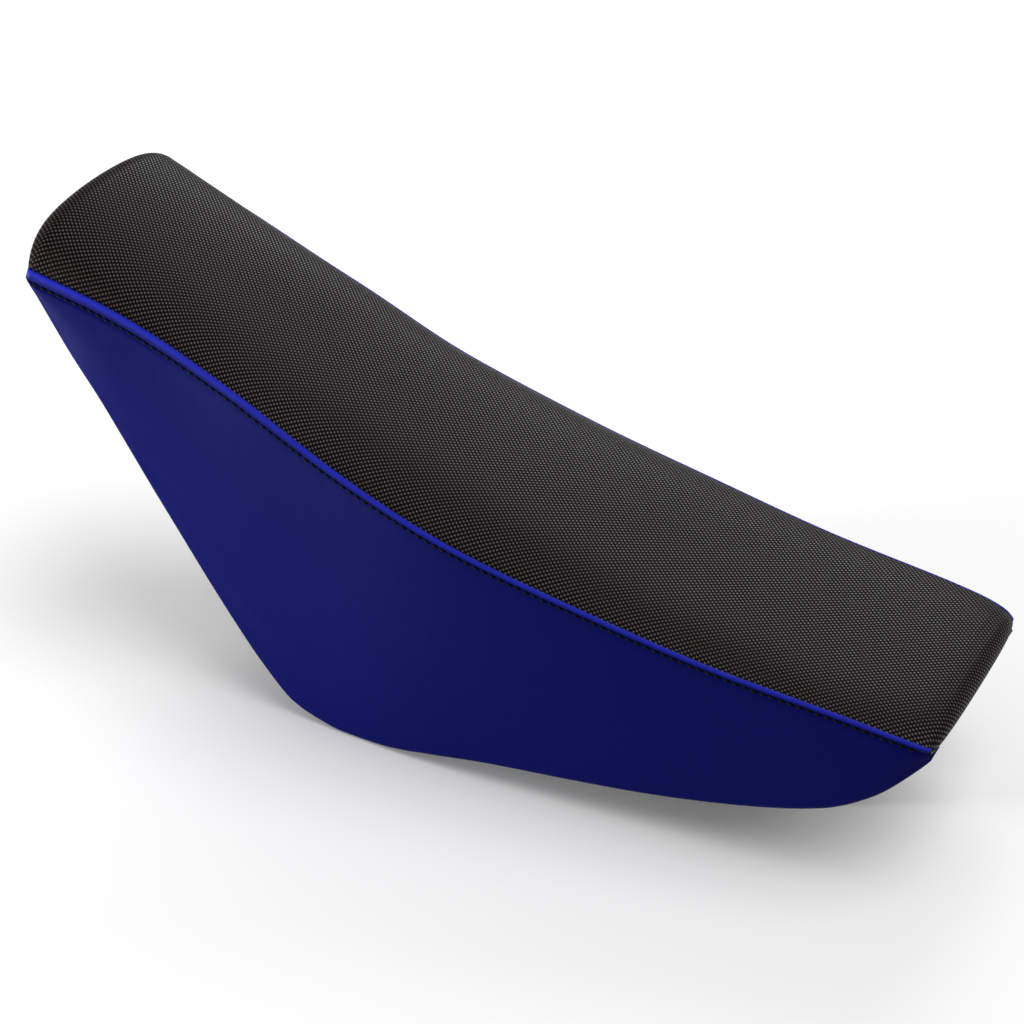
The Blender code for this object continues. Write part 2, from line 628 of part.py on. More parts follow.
def make_frame_catch(pan, foam):
    """Frame catch: a strap under the roof whose rear end drops and turns forward as a tongue."""
    place, pitch = roof_point(CATCH_X, 0.0, PAN_THICKNESS + GAP)
    line = [(-0.024, -PLATE / 2), (0.010, -PLATE / 2)]
    line += bend((0.012, -PLATE / 2 - 0.006), 0.006, 90, 0)
    line += bend((0.012, -0.026), 0.006, 0, -90)
    line += [(-0.016, -0.032)]
    catch = folded_strap("frame_catch", line[::-1], PLATE, CATCH_WIDTH, "bracket_steel")
    set_place(catch, place, pitch)
    for side, word in ((-1, "left"), (1, "right")):
        name = "catch_screw_" + word
        x = CATCH_X - STRAP_FASTENER_X * math.cos(pitch)
        drill(catch, name, x, side * CATCH_SCREW_Y, SCREW_HOLE)
        make_screw(name, x, side * CATCH_SCREW_Y, PLATE + GAP, pan, foam)


def make_seat():
    clear_scene()
    make_covers()
    pan = make_pan()
    foam = make_foam()
    for side, word in ((-1, "left"), (1, "right")):
        make_rear_tab(side, word, pan, foam)
        for place, x, y in BUMPER_PLACES:
            make_bumper("%s_bumper_%s" % (place, word), x, side * y, pan, foam)
    make_front_hook(pan, foam)
    make_frame_catch(pan, foam)


make_seat()
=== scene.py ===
# %% [markdown]
# # An off-road motorcycle seat
#
# The seat is a one-piece saddle about 0.6 m long. A moulded plastic base carries a foam
# block, and a three-piece cover is pulled over both: black grip vinyl on top, blue smooth
# vinyl down each side. The deep front straddles the fuel tank and the tail runs out thin.
#
# This script dresses a finished mechanical model, the frame. Positions come from it.

# %% Load the frame
import math

import bmesh
import bpy
import numpy as np
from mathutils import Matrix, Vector


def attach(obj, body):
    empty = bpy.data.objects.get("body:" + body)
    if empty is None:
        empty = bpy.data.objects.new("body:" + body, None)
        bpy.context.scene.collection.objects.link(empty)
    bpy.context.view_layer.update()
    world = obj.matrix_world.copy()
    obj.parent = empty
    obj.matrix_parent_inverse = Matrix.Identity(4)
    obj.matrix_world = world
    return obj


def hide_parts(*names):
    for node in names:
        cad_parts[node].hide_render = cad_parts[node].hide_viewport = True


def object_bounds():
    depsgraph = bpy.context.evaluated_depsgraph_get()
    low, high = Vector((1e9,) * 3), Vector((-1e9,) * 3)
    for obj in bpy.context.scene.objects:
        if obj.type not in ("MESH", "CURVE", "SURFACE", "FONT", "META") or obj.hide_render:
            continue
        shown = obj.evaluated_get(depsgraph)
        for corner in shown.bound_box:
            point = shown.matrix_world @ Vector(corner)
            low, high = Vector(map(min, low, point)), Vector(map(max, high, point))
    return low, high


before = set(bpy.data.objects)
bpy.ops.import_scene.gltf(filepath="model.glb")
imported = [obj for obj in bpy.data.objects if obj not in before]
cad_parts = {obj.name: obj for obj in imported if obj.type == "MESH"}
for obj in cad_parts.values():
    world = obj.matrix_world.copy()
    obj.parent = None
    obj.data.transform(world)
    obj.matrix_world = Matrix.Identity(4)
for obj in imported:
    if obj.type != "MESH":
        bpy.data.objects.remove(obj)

CAD_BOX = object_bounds()
LENGTH = CAD_BOX[1].x - CAD_BOX[0].x
print("nodes", len(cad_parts), "length", round(LENGTH, 4))

# %% [markdown]
# ## The lines that everything follows
#
# A saddle can be drawn with very few lines: the crown down the middle, the seam along each
# shoulder, the lower edge, the base's roof, and the half width in plan. A cubic between
# neighbouring points, level at highs and lows, joins them without overshooting, so a few
# points hold the shape. The frame was drawn with these lines too, but for a slightly
# smoother lower edge and flare here, so new pieces fit it.

# %% Side-view lines (x, z) and the plan line (x, half width), in metres
CROWN = [(-0.2768, 0.2918), (-0.194, 0.2484), (-0.114, 0.2099), (-0.034, 0.1786),
         (0.046, 0.1543), (0.126, 0.1332), (0.206, 0.1174), (0.2877, 0.1060)]
SEAM = [(-0.2900, 0.2670), (-0.234, 0.2504), (-0.154, 0.2169), (-0.074, 0.1792),
        (0.006, 0.1521), (0.086, 0.1335), (0.166, 0.1175), (0.262, 0.1041), (0.281, 0.1000),
        (0.293, 0.0950)]
LOWER = [(-0.2875, 0.2555), (-0.262, 0.2190), (-0.2405, 0.1894), (-0.2035, 0.1288),
         (-0.162, 0.0665), (-0.131, 0.0271), (-0.112, 0.0095), (-0.096, 0.0035),
         (-0.076, 0.0), (-0.056, 0.0001), (-0.0346, 0.0022), (-0.0168, 0.0056), (0.024, 0.0124),
         (0.080, 0.0182), (0.134, 0.0243), (0.193, 0.0345), (0.235, 0.0460),
         (0.261, 0.0602), (0.2855, 0.0830), (0.292, 0.0905)]
ROOF = [(-0.280, 0.264), (-0.200, 0.205), (-0.114, 0.145), (-0.034, 0.101),
        (0.046, 0.077), (0.130, 0.071), (0.226, 0.071), (0.290, 0.093)]
HALF_WIDTH = [(-0.290, 0.0808), (-0.194, 0.0758), (-0.114, 0.0792), (0.006, 0.0864),
              (0.086, 0.0854), (0.206, 0.0808), (0.266, 0.0780), (0.283, 0.0755),
              (0.293, 0.0705)]
LIP_HEIGHT = [(-0.290, 0.0068), (-0.200, 0.0063), (-0.130, 0.0052), (-0.050, 0.0040),
              (0.030, 0.0032), (0.293, 0.0029)]
SIDE_FLARE = 0.009
SIDE_SWELL = 0.004
FULL_FLARE_HEIGHT = 0.06
FULL_SWELL_HEIGHT = 0.1
LIP_SHARE = 0.62
EDGE_RADIUS, EDGE_SHARE = 0.0032, 0.2
SIDES = (("left", -1), ("right", 1))


def line_at(points, x):
    """Height on a line at x: a cubic Hermite curve whose slope at each inner point is the
    harmonic mean of its two neighbours' slopes, or zero where they differ in sign."""
    px, pz = np.array(points).T
    step = np.diff(px)
    slope = np.diff(pz) / step
    both = slope[:-1] + slope[1:]
    same = slope[:-1] * slope[1:] > 0
    tangent = np.concatenate([slope[:1], np.zeros(len(px) - 2), slope[-1:]])
    tangent[1:-1] = np.where(same, 2 * slope[:-1] * slope[1:] / np.where(same, both, 1), 0)
    x = np.clip(np.asarray(x, float), px[0], px[-1])
    i = np.clip(np.searchsorted(px, x) - 1, 0, len(px) - 2)
    t = (x - px[i]) / step[i]
    rise = (2 * t**3 - 3 * t**2 + 1) * pz[i] + (3 * t**2 - 2 * t**3) * pz[i + 1]
    bend = (t**3 - 2 * t**2 + t) * tangent[i] + (t**3 - t**2) * tangent[i + 1]
    return rise + bend * step[i]


def spread(first, last, count):
    """Places from first to last, closer together at both ends: half a cosine turn."""
    return (first + last) / 2 - (last - first) / 2 * np.cos(np.linspace(0, math.pi, count))


def smooth(t):
    """Zero below 0, one above 1, and 3t squared minus 2t cubed in between."""
    t = np.clip(t, 0, 1)
    return t * t * (3 - 2 * t)


def level_off(t):
    """The value itself while small, one when large, and a parabola from 0.6 to 1.4."""
    t = np.clip(t, 0, 1.4)
    return np.where(t < 0.6, t, 1 - (1.4 - t) ** 2 / 1.6)


def unit(v):
    """Vectors along the last axis scaled to length one."""
    return v / np.maximum(np.linalg.norm(v, axis=-1, keepdims=True), 1e-12)


def side_height(x):
    """How tall the side is at x: seam minus lower edge."""
    return line_at(SEAM, x) - line_at(LOWER, x)


def lower_half_width(x):
    """Half width at the lower edge, flared a little wherever the side is tall."""
    return line_at(HALF_WIDTH, x) + SIDE_FLARE * level_off(side_height(x) / FULL_FLARE_HEIGHT)


def lip_height(x):
    """Height of the folded lip at x, kept to a share of the side where the side is low."""
    return np.minimum(line_at(LIP_HEIGHT, x), LIP_SHARE * side_height(x))


def edge_radius(x):
    """Radius that the lower edge is turned round at x, less where the side is low."""
    return np.minimum(EDGE_RADIUS, EDGE_SHARE * side_height(x))


print("seam from", SEAM[0], "to", SEAM[-1])

# %% [markdown]
# ## From arrays to meshes
#
# A cover is a sheet with an outside and an inside. Both are grids of points with the same
# rows and columns. Quads join neighbours on each grid, and a ribbon of quads joins the two
# grids round the border, so the sheet is one closed body with an even wall.

# %% Mesh helpers
def quads(index):
    """Quads over a grid of vertex numbers: each takes a corner and its three neighbours."""
    a, b = index[:-1, :-1], index[1:, :-1]
    c, d = index[1:, 1:], index[:-1, 1:]
    return np.stack([a, b, c, d], axis=-1).reshape(-1, 4)


def border(index):
    """Vertex numbers round the edge of a grid, in order, back to the start."""
    ring = [index[:, 0], index[-1, 1:], index[-2::-1, -1], index[0, -2:0:-1]]
    ring = np.concatenate(ring)
    return np.append(ring, ring[0])


def add_piece(name, points, faces, material, uv=None, sharp=40, outward=False):
    """A named object at the origin from points and faces. The UV is optional, edges over
    the sharp angle in degrees are creased, and outward turns every face to the outside."""
    mesh = bpy.data.meshes.new(name)
    if isinstance(faces, np.ndarray):
        faces = faces.tolist()
    mesh.from_pydata(np.asarray(points).reshape(-1, 3), [], faces)
    if outward:
        work = bmesh.new()
        work.from_mesh(mesh)
        bmesh.ops.recalc_face_normals(work, faces=work.faces)
        work.to_mesh(mesh)
        work.free()
    if uv is not None:
        corner = np.zeros(len(mesh.loops), np.int32)
        mesh.loops.foreach_get("vertex_index", corner)
        layer = mesh.uv_layers.new(name="UVMap")
        layer.uv.foreach_set("vector", np.asarray(uv, np.float32)[corner].ravel())
    mesh.update()
    mesh.shade_smooth()
    if sharp:
        mesh.set_sharp_from_angle(angle=math.radians(sharp))
    mesh.materials.append(material)
    item = bpy.data.objects.new(name, mesh)
    bpy.context.scene.collection.objects.link(item)
    return item


def skin(outer, inner):
    """Points and faces of a closed sheet: outer grid, inner grid turned over, and a rim."""
    rows, columns = outer.shape[:2]
    top = np.arange(rows * columns).reshape(rows, columns)
    under = top + rows * columns
    edge, back = border(top), border(under)
    rim = np.stack([edge[:-1], back[:-1], back[1:], edge[1:]], axis=-1)
    points = np.concatenate([outer.reshape(-1, 3), inner.reshape(-1, 3)])
    return points, np.concatenate([quads(top), quads(under)[:, ::-1], rim])


def mirrored(points, faces, side):
    """The same piece for a side: across Y for the left one, with its faces turned back."""
    if side > 0:
        return points, faces
    return points * (1, -1, 1), faces[:, ::-1]


def normals_of(grid):
    """Outward unit normals of a grid: along the rows crossed with along the columns."""
    return unit(np.cross(np.gradient(grid, axis=0), np.gradient(grid, axis=1)))


def area_of(grid):
    """Area of a grid of quads, as the two triangles of each."""
    a, b, c, d = grid[:-1, :-1], grid[1:, :-1], grid[1:, 1:], grid[:-1, 1:]
    halves = np.cross(b - a, c - a), np.cross(c - a, d - a)
    return sum(float(np.linalg.norm(h, axis=2).sum()) / 2 for h in halves)


def run_of(line):
    """Distance travelled along a line of points, starting at zero."""
    step = np.linalg.norm(np.diff(line, axis=0), axis=-1)
    return np.concatenate([np.zeros_like(step[:1]), np.cumsum(step, axis=0)])


# %% [markdown]
# ## Shader maths in plain Python
#
# A material is a graph of small nodes. Writing it as an expression is easier to read, so a
# class wraps each socket, and adding or multiplying two of them adds the Math node.

# %% Sockets as numbers
class Value:
    """A node's output that takes part in arithmetic."""

    def __init__(self, tree, socket):
        self.tree = tree
        self.socket = socket

    def math(self, operation, *others):
        """A Math node on this value and any others."""
        inputs = {0: self, **dict(enumerate(others, 1))}
        return add_node(self.tree, "ShaderNodeMath", {"operation": operation}, inputs)

    def __add__(self, other): return self.math("ADD", other)
    def __radd__(self, other): return self.math("ADD", other)
    def __sub__(self, other): return self.math("SUBTRACT", other)
    def __rsub__(self, other): return as_value(self.tree, other).math("SUBTRACT", self)
    def __mul__(self, other): return self.math("MULTIPLY", other)
    def __rmul__(self, other): return self.math("MULTIPLY", other)

    def ramp(self, low, high):
        """Zero up to low, one from high on, and a smooth step between."""
        settings = {"interpolation_type": "SMOOTHSTEP"}
        inputs = {"Value": self, "From Min": low, "From Max": high}
        return add_node(self.tree, "ShaderNodeMapRange", settings, inputs)


def as_value(tree, number):
    """A plain number as a node, for expressions that start with one."""
    made = tree.nodes.new("ShaderNodeValue")
    made.outputs[0].default_value = number
    return Value(tree, made.outputs[0])


def add_node(tree, kind, settings=None, inputs=None, output=0):
    """Any node: settings first, then the values or links of its sockets."""
    made = tree.nodes.new(kind)
    for key, setting in (settings or {}).items():
        setattr(made, key, setting)
    for key, value in (inputs or {}).items():
        if isinstance(value, Value):
            tree.links.new(value.socket, made.inputs[key])
        else:
            made.inputs[key].default_value = value
    return Value(tree, made.outputs[output])


def mix(tree, share, first, second):
    """Colour between two, by a share from 0 to 1."""
    inputs = {"Factor": share, 6: first, 7: second}
    return add_node(tree, "ShaderNodeMix", {"data_type": "RGBA"}, inputs, output=2)


def noise(tree, where, scale, detail=3.0, roughness=0.5):
    """Soft noise from 0 to 1 at a place, its scale in waves per metre."""
    inputs = {"Vector": where, "Scale": scale, "Detail": detail, "Roughness": roughness}
    return add_node(tree, "ShaderNodeTexNoise", {}, inputs)


def finish(name, **fixed):
    """A new material: its node tree, its Principled shader with the fixed values set."""
    material = bpy.data.materials.new(name)
    material.use_nodes = True
    tree = material.node_tree
    shader = tree.nodes["Principled BSDF"]
    for key, value in fixed.items():
        shader.inputs[key.replace("_", " ")].default_value = value
    return material, tree, shader


def feed(tree, shader, **links):
    """Link values to the shader's sockets by name."""
    for key, value in links.items():
        tree.links.new(value.socket, shader.inputs[key.replace("_", " ")])


def bump(tree, height, distance):
    """Normal from a height of 0 to 1 that stands for a distance in metres."""
    inputs = {"Height": height, "Distance": distance, "Strength": 1.0}
    return add_node(tree, "ShaderNodeBump", {}, inputs)


def object_place(tree):
    """Where a point is on the object, in metres."""
    return add_node(tree, "ShaderNodeTexCoord", {}, {}, output=3)


def parts_of(tree, vector):
    """The three numbers of a vector."""
    made = tree.nodes.new("ShaderNodeSeparateXYZ")
    tree.links.new(vector.socket, made.inputs[0])
    return [Value(tree, out) for out in made.outputs]


# %% [markdown]
# ## Grip vinyl
#
# The top panel is a coated cloth embossed with small studs, so the rider doesn't slide.
# The studs stand on a diamond lattice. The product of two cosines has its peaks on exactly
# such a lattice, one at each crossing and one at each centre, so one product gives the
# height, the wear that makes the tops shiny, and the colour, which is painted shade in the
# pits and a painted highlight on the stud tops. It is laid out in metres along the cover's
# own surface.

# %% Grip vinyl
STUD_ALONG = 0.003568
STUD_ACROSS = 0.00308


def make_grip_vinyl():
    """Dark coated cloth: stud height is cos(2 pi u / along) times cos(2 pi v / across).
    Only the stud tops, rubbed by wear, are shiny, so the coat's weight follows the stud.
    The colour is painted shade in the pits and a painted highlight on the stud tops."""
    material, tree, shader = finish("grip_vinyl", Specular_IOR_Level=0.05, Coat_Roughness=0.42)
    place = add_node(tree, "ShaderNodeUVMap", {"uv_map": "UVMap"})
    u, v, _ = parts_of(tree, place)
    lattice = (u * (2 * math.pi / STUD_ALONG)).math("COSINE") * \
        (v * (2 * math.pi / STUD_ACROSS)).math("COSINE")
    stud = lattice.ramp(0.0, 0.9)
    where = object_place(tree)
    drift = noise(tree, where, 14.0, 2.0)
    speck = noise(tree, where, 900.0, 2.0)
    crown = stud * (0.72 + 0.56 * speck)
    # the colour is painted: shade in the pits between the studs, a highlight on the stud tops
    painted_pit_shade = mix(tree, drift, (0.0008, 0.0005, 0.0005, 1), (0.0014, 0.0009, 0.0009, 1))
    top = mix(tree, drift, (0.046, 0.027, 0.024, 1), (0.062, 0.041, 0.037, 1))
    feed(tree, shader, Base_Color=mix(tree, crown, painted_pit_shade, top), Roughness=0.62 - 0.28 * stud,
         Coat_Weight=0.75 * stud, Normal=bump(tree, stud + 0.12 * speck, 0.0010))
    return material


grip_vinyl = make_grip_vinyl()
print("studs every", STUD_ALONG * 1000, "by", STUD_ACROSS * 1000, "mm")

# %% [markdown]
# ## Side vinyl
#
# The sides are smooth blue upholstery vinyl with a fine skin grain. Small cells and a finer
# noise make the grain, and a slow noise shifts the colour and the shine a little, as on any
# sheet that has been stretched by hand.

# %% Side vinyl
def make_side_vinyl():
    """Satin blue: fine cells for the grain, a slow noise for colour and shine. Along the top
    of the lip at the seam the colour is a painted highlight and the vinyl a little smoother."""
    material, tree, shader = finish("side_vinyl", Specular_IOR_Level=0.035)
    where = object_place(tree)
    cells = add_node(tree, "ShaderNodeTexVoronoi", {"feature": "DISTANCE_TO_EDGE"},
                     {"Vector": where, "Scale": 900.0})
    grain = cells.ramp(0.0, 0.25) * 0.6 + noise(tree, where, 1500.0, 3.0) * 0.4
    drift = noise(tree, where, 9.0, 2.0)
    colour = mix(tree, drift, (0.0006, 0.0018, 0.056, 1), (0.0010, 0.0028, 0.070, 1))
    grain_and_lip_highlight = mix(tree, grain, (0.0005, 0.0014, 0.047, 1), colour)
    # a painted highlight along the top of the folded lip, strongest at its upper edge
    _, lip_highlight, _ = parts_of(tree, add_node(tree, "ShaderNodeUVMap", {"uv_map": "UVMap"}))
    grain_and_lip_highlight = mix(tree, lip_highlight, grain_and_lip_highlight, (0.0120, 0.0170, 0.300, 1))
    feed(tree, shader, Base_Color=grain_and_lip_highlight, Roughness=0.40 + 0.12 * drift - 0.08 * lip_highlight,
         Normal=bump(tree, grain, 0.00005))
    return material


side_vinyl = make_side_vinyl()

# %% [markdown]
# ## Top panel
#
# On the bench this is one strip of grip vinyl, sewn to the sides along both shoulders, then
# pulled over the nose and the tail and stapled under the base. It could be draped by a
# simulation, but a saddle cover is stretched tight over shaped foam, so the foam's shape
# decides: a crown across the seat that stays flat and then rolls down to each seam.

# %% Top panel as a surface of two parameters
COVER = 0.0014
EARLY_DROP = 0.35
NOSE_CENTRE, NOSE_RADIUS = np.array([-0.2834, 0.2797]), 0.014
TAIL_CENTRE, TAIL_RADIUS = np.array([0.2848, 0.0968]), 0.009
SEAM_ENDS = (-0.2835, 0.2868)
SEAM_ROLL = (0.0034, 0.0048)
BODY_ENDS = (-0.2700, 0.2790)
ROWS = (34, 210, 24)
NOSE_TURN = np.radians(np.linspace(268, 60, ROWS[0]))
TAIL_TURN = np.radians(np.linspace(82, -88, ROWS[2]))
BODY_X = spread(*BODY_ENDS, ROWS[1])
TUCK_ROWS = 5
NOSE_TUCK = np.array([(-0.2726, 0.2490), (-0.2742, 0.2615)])
NOSE_TUCK_AT_SEAM = NOSE_TUCK - (0, 0.0006)
TAIL_TUCK = np.array([(0.2806, 0.0862), (0.2790, 0.0790)])


def arc(centre, radius, turn):
    """Points round a centre: radius times cosine and sine of the turn."""
    return np.asarray(centre) + radius * np.stack([np.cos(turn), np.sin(turn)], axis=-1)


def seam_normal(x):
    """Unit vector square to the seam in side view, pointing up."""
    rise = (line_at(SEAM, x + 0.001) - line_at(SEAM, x - 0.001)) / 0.002
    return unit(np.stack([-rise, np.ones_like(rise)], axis=-1))


def tucked(line, before, after):
    """A line with a tuck added before it and after it: straight runs between given points."""
    share = np.linspace(0, 1, TUCK_ROWS, endpoint=False)[:, None]
    first = [a * (1 - share) + b * share for a, b in zip(before, [*before[1:], line[0]])]
    last = [b * (1 - share) + a * share for a, b in zip([line[-1], *after[:-1]], after)]
    last = [np.concatenate([run[1:], end[None]]) for run, end in zip(last, after)]
    return np.concatenate([*first, line, *last])


def middle_line():
    """Side-view line down the middle: nose arc, crown, tail arc, tucked at both ends."""
    crown = np.stack([BODY_X, line_at(CROWN, BODY_X)], axis=-1)
    line = [arc(NOSE_CENTRE, NOSE_RADIUS, NOSE_TURN), crown,
            arc(TAIL_CENTRE, TAIL_RADIUS, TAIL_TURN)]
    return tucked(np.concatenate(line), NOSE_TUCK, TAIL_TUCK)


def seam_line():
    """Side-view line along a shoulder, its ends rolled round small arcs that touch it."""
    ends = np.array(SEAM_ENDS)
    foot = np.stack([ends, line_at(SEAM, ends)], axis=-1)
    centre = foot - seam_normal(ends) * np.array(SEAM_ROLL)[:, None]
    body = np.stack([BODY_X, line_at(SEAM, BODY_X)], axis=-1)
    line = [arc(centre[0], SEAM_ROLL[0], np.minimum(NOSE_TURN + 0.2, NOSE_TURN[0])), body,
            arc(centre[1], SEAM_ROLL[1], TAIL_TURN)]
    return tucked(np.concatenate(line), NOSE_TUCK_AT_SEAM, TAIL_TUCK)


def crown_share(t):
    """Share of the drop from crown to seam at t, 0 in the middle and 1 at the seam."""
    t = np.abs(t)
    return EARLY_DROP * t**2 + (1 - EARLY_DROP) * t**6


ACROSS = 84
LEVEL_ROW = 60
TUCK_NARROWER = 0.004
# past the seam, (y out of the half width, distance below the seam) of each last column
TURN_IN = np.array([(0.00025, 0.0005), (0.0002, 0.0012), (-0.0004, 0.0022), (-0.0014, 0.0032)])


def top_surface():
    """Middle plus share of the way to the seam; y is the half width times a sine, and the
    last columns at each side turn down into the seam."""
    middle, seam = middle_line(), seam_line()
    t = np.sin(np.linspace(-1, 1, ACROSS + 1) * math.pi / 2)
    share = crown_share(t)[None, :, None]
    flat = middle[:, None] * (1 - share) + seam[:, None] * share
    half = line_at(HALF_WIDTH, seam[:, 0])
    half[[0, -1]] -= TUCK_NARROWER
    grid = np.stack([flat[:, :, 0], half[:, None] * t, flat[:, :, 1]], axis=-1)
    along = unit(np.gradient(seam, axis=0))
    out = np.stack([-along[:, 1], along[:, 0]], axis=-1)
    edge = seam[:, None] - out[:, None] * TURN_IN[None, :, 1:]
    y = half[:, None] + TURN_IN[None, :, 0]
    turned_in = np.stack([edge[:, :, 0], y, edge[:, :, 1]], axis=-1)
    return np.concatenate([turned_in[:, ::-1] * (1, -1, 1), grid, turned_in], axis=1)


def cloth_uv(grid, middle_column, level_row):
    """Metres along the cloth: distance along each column, counted from one row in the body,
    and distance out from the middle column."""
    along = run_of(grid)
    along = along - along[level_row] + along[level_row, middle_column]
    across = run_of(np.swapaxes(grid, 0, 1)).T
    across -= across[:, middle_column:middle_column + 1]
    return np.stack([along, across], axis=-1)


top = top_surface()
top_inside = top - normals_of(top) * COVER
top_uv = cloth_uv(top, top.shape[1] // 2, LEVEL_ROW)
both_uv = np.tile(top_uv.reshape(-1, 2), (2, 1))
grip_panel = add_piece("grip_panel", *skin(top, top_inside), grip_vinyl, both_uv, 60)
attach(grip_panel, "root")
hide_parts("top_cover")

# %% [markdown]
# ## Side panels
#
# Each side is one piece of blue vinyl. Its upper edge is folded over, and the fold stands
# proud of the black as a rounded lip, taller at the nose. Below the lip a row of stitches
# pulls the vinyl in, so there is a shallow groove. Then the side runs down over the foam,
# turns round the base's rim and ends in a stapled hem. Every part of that section has a
# short formula, and the section is carried along the seat.

# %% Side panel section, carried along the seat
SIDE_ENDS = (-0.2872, 0.2900)
SIDE_ROWS = 250
LIP_OUT = 0.0024
LIP_TIP = 0.003
GROOVE_OUT = 0.0009
GROOVE_RUN = 0.0034
HEM = 0.016
LIP_STEPS, SIDE_STEPS, EDGE_STEPS, HEM_STEPS = 16, 30, 7, 5


def lower_normal(x):
    """Unit vector square to the lower edge in side view, pointing down and out."""
    rise = (line_at(LOWER, x + 0.002) - line_at(LOWER, x - 0.002)) / 0.004
    return unit(np.stack([rise, -np.ones_like(rise)], axis=-1))


def wrinkles(x, z, share):
    """Faint pulls near the front edge: waves 37 and 24 mm long that fade inwards and back."""
    along = 0.45 * x + 0.89 * z
    wave = np.sin(along * 170 + 2.0 * np.sin(x * 40)) + 0.6 * np.sin(along * 263 + 1.3)
    window = smooth((share - 0.35) / 0.5) * smooth((1.02 - share) / 0.12)
    return 0.00022 * wave * window * smooth((-0.06 - x) / 0.08)


def side_surface(inset):
    """Outer line (inset 0) or inner line of the panel at every station, as a grid."""
    x = spread(*SIDE_ENDS, SIDE_ROWS)[:, None]
    height = side_height(x)
    lip, radius = lip_height(x), edge_radius(x)
    half, low_y = line_at(HALF_WIDTH, x), lower_half_width(x)
    seam = np.concatenate([x, line_at(SEAM, x)], axis=1)[:, None]
    foot = np.concatenate([x, line_at(LOWER, x)], axis=1)[:, None]
    up, down = seam_normal(x[:, 0])[:, None], lower_normal(x[:, 0])[:, None]
    # the lip: half a superellipse from the seam down to the groove, its two tips rounded
    turn = np.linspace(0.02, 1, LIP_STEPS)[None] * math.pi
    tip = np.minimum(x - SIDE_ENDS[0], SIDE_ENDS[1] - x) / LIP_TIP
    round_tip = np.sqrt(1 - (1 - np.clip(tip, 0, 1)) ** 2)
    bulge = np.sin(turn) ** 0.55 * (LIP_OUT - GROOVE_OUT / 2) * round_tip
    lip_down = lip * (1 - np.cos(turn)) / 2
    lip_y = half + bulge + GROOVE_OUT * smooth(turn / math.pi) - 0.0001
    if inset:
        lip_y = half + (GROOVE_OUT - inset) * (turn / math.pi) - 0.0016 * (1 - turn / math.pi)
        lip_down = lip_down + 0.0008 * (1 - turn / math.pi)
    lip_xz = seam - up * lip_down[:, :, None]
    # the side: from the groove to the start of the lower edge's radius
    share = np.linspace(0, 1, SIDE_STEPS + 1)[None, 1:-1] ** 1.25
    start, end = seam - up * lip[:, :, None], foot - down * radius[:, :, None]
    side_xz = start * (1 - share[:, :, None]) + end * share[:, :, None]
    run = np.linalg.norm(end - start, axis=2) * share
    swell = SIDE_SWELL * np.sin(math.pi * share**0.9) * level_off(height / FULL_SWELL_HEIGHT)
    full = (half + 0.0016) * (1 - share) + low_y * share + swell
    side_y = full - (full - half - GROOVE_OUT) * (1 - smooth(run / GROOVE_RUN)) - inset
    side_y = side_y + wrinkles(side_xz[:, :, 0], side_xz[:, :, 1], share)
    # the lower edge: a quarter turn, then the hem runs inwards
    turn = np.linspace(0, math.pi / 2, EDGE_STEPS)[None]
    edge_y = low_y - radius + (radius - inset) * np.cos(turn)
    edge_xz = foot - down * (radius - (radius - inset) * np.sin(turn))[:, :, None]
    inwards = np.linspace(0, 1, HEM_STEPS + 1)[None, 1:]
    hem_y = low_y - radius - (HEM - radius) * inwards
    hem_xz = foot - down * (inset + 0.0004 * inwards * (1 - inwards))[:, :, None]
    hem_xz = np.broadcast_to(hem_xz, (*hem_y.shape, 2))
    xz = np.concatenate([lip_xz, side_xz, edge_xz, hem_xz], axis=1)
    y = np.concatenate([lip_y, side_y, edge_y, hem_y], axis=1)
    return np.stack([xz[:, :, 0], y, xz[:, :, 1]], axis=-1)


side_outer, side_inner = side_surface(0.0), side_surface(COVER)
side_points, side_faces = skin(side_outer, side_inner)
side_faces = side_faces[:, ::-1]
# u is the distance along the seam, v is one on top of the fold and zero at the groove;
# v places the painted highlight along the top of the lip
lip_highlight = 1 - smooth((np.arange(side_outer.shape[1]) - 2) / (LIP_STEPS / 2))
seam_run = run_of(side_outer[:, 0])
side_uv = np.stack(np.broadcast_arrays(seam_run[:, None], lip_highlight), axis=-1).reshape(-1, 2)
side_uv = np.tile(side_uv, (2, 1))
for word, side in SIDES:
    points, faces = mirrored(side_points, side_faces, side)
    panel = add_piece("side_panel_" + word, points, faces, side_vinyl, side_uv, 60)
    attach(panel, "root")
    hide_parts("side_cover_" + word)
print("side panel area", round(area_of(side_outer), 4), "square metres")

# %% [markdown]
# ## Topstitch
#
# A row of heavy black thread runs in the groove under each lip. One stitch is a short fat
# thread that dives into the vinyl at both ends. All stitches are worked out together: a
# small ring of points is carried along each stitch, and each stitch along the groove.

# %% Thread and stitches
STITCH_PITCH = 0.0055
STITCH_LENGTH = 0.0045
THREAD_RADIUS = 0.00078
STITCH_BELOW_LIP = 0.0012
STITCH_RISE, STITCH_FLOAT = 0.00095, 0.0001


def make_thread():
    """Black bonded thread: a twist wave along it and a little sheen."""
    material, tree, shader = finish("topstitch_thread", Specular_IOR_Level=0.08)
    where = object_place(tree)
    x, y, z = parts_of(tree, where)
    twist = ((x * 1.7 + z * 2.1 + y) * 5200.0).math("SINE") * 0.5 + 0.5
    fuzz = noise(tree, where, 2600.0, 2.0)
    shade = twist * 0.6 + fuzz * 0.4
    colour = mix(tree, shade, (0.0006, 0.0006, 0.0008, 1), (0.004, 0.004, 0.005, 1))
    feed(tree, shader, Base_Color=colour, Roughness=0.62 + 0.2 * fuzz,
         Normal=bump(tree, twist, 0.00012))
    return material


thread = make_thread()


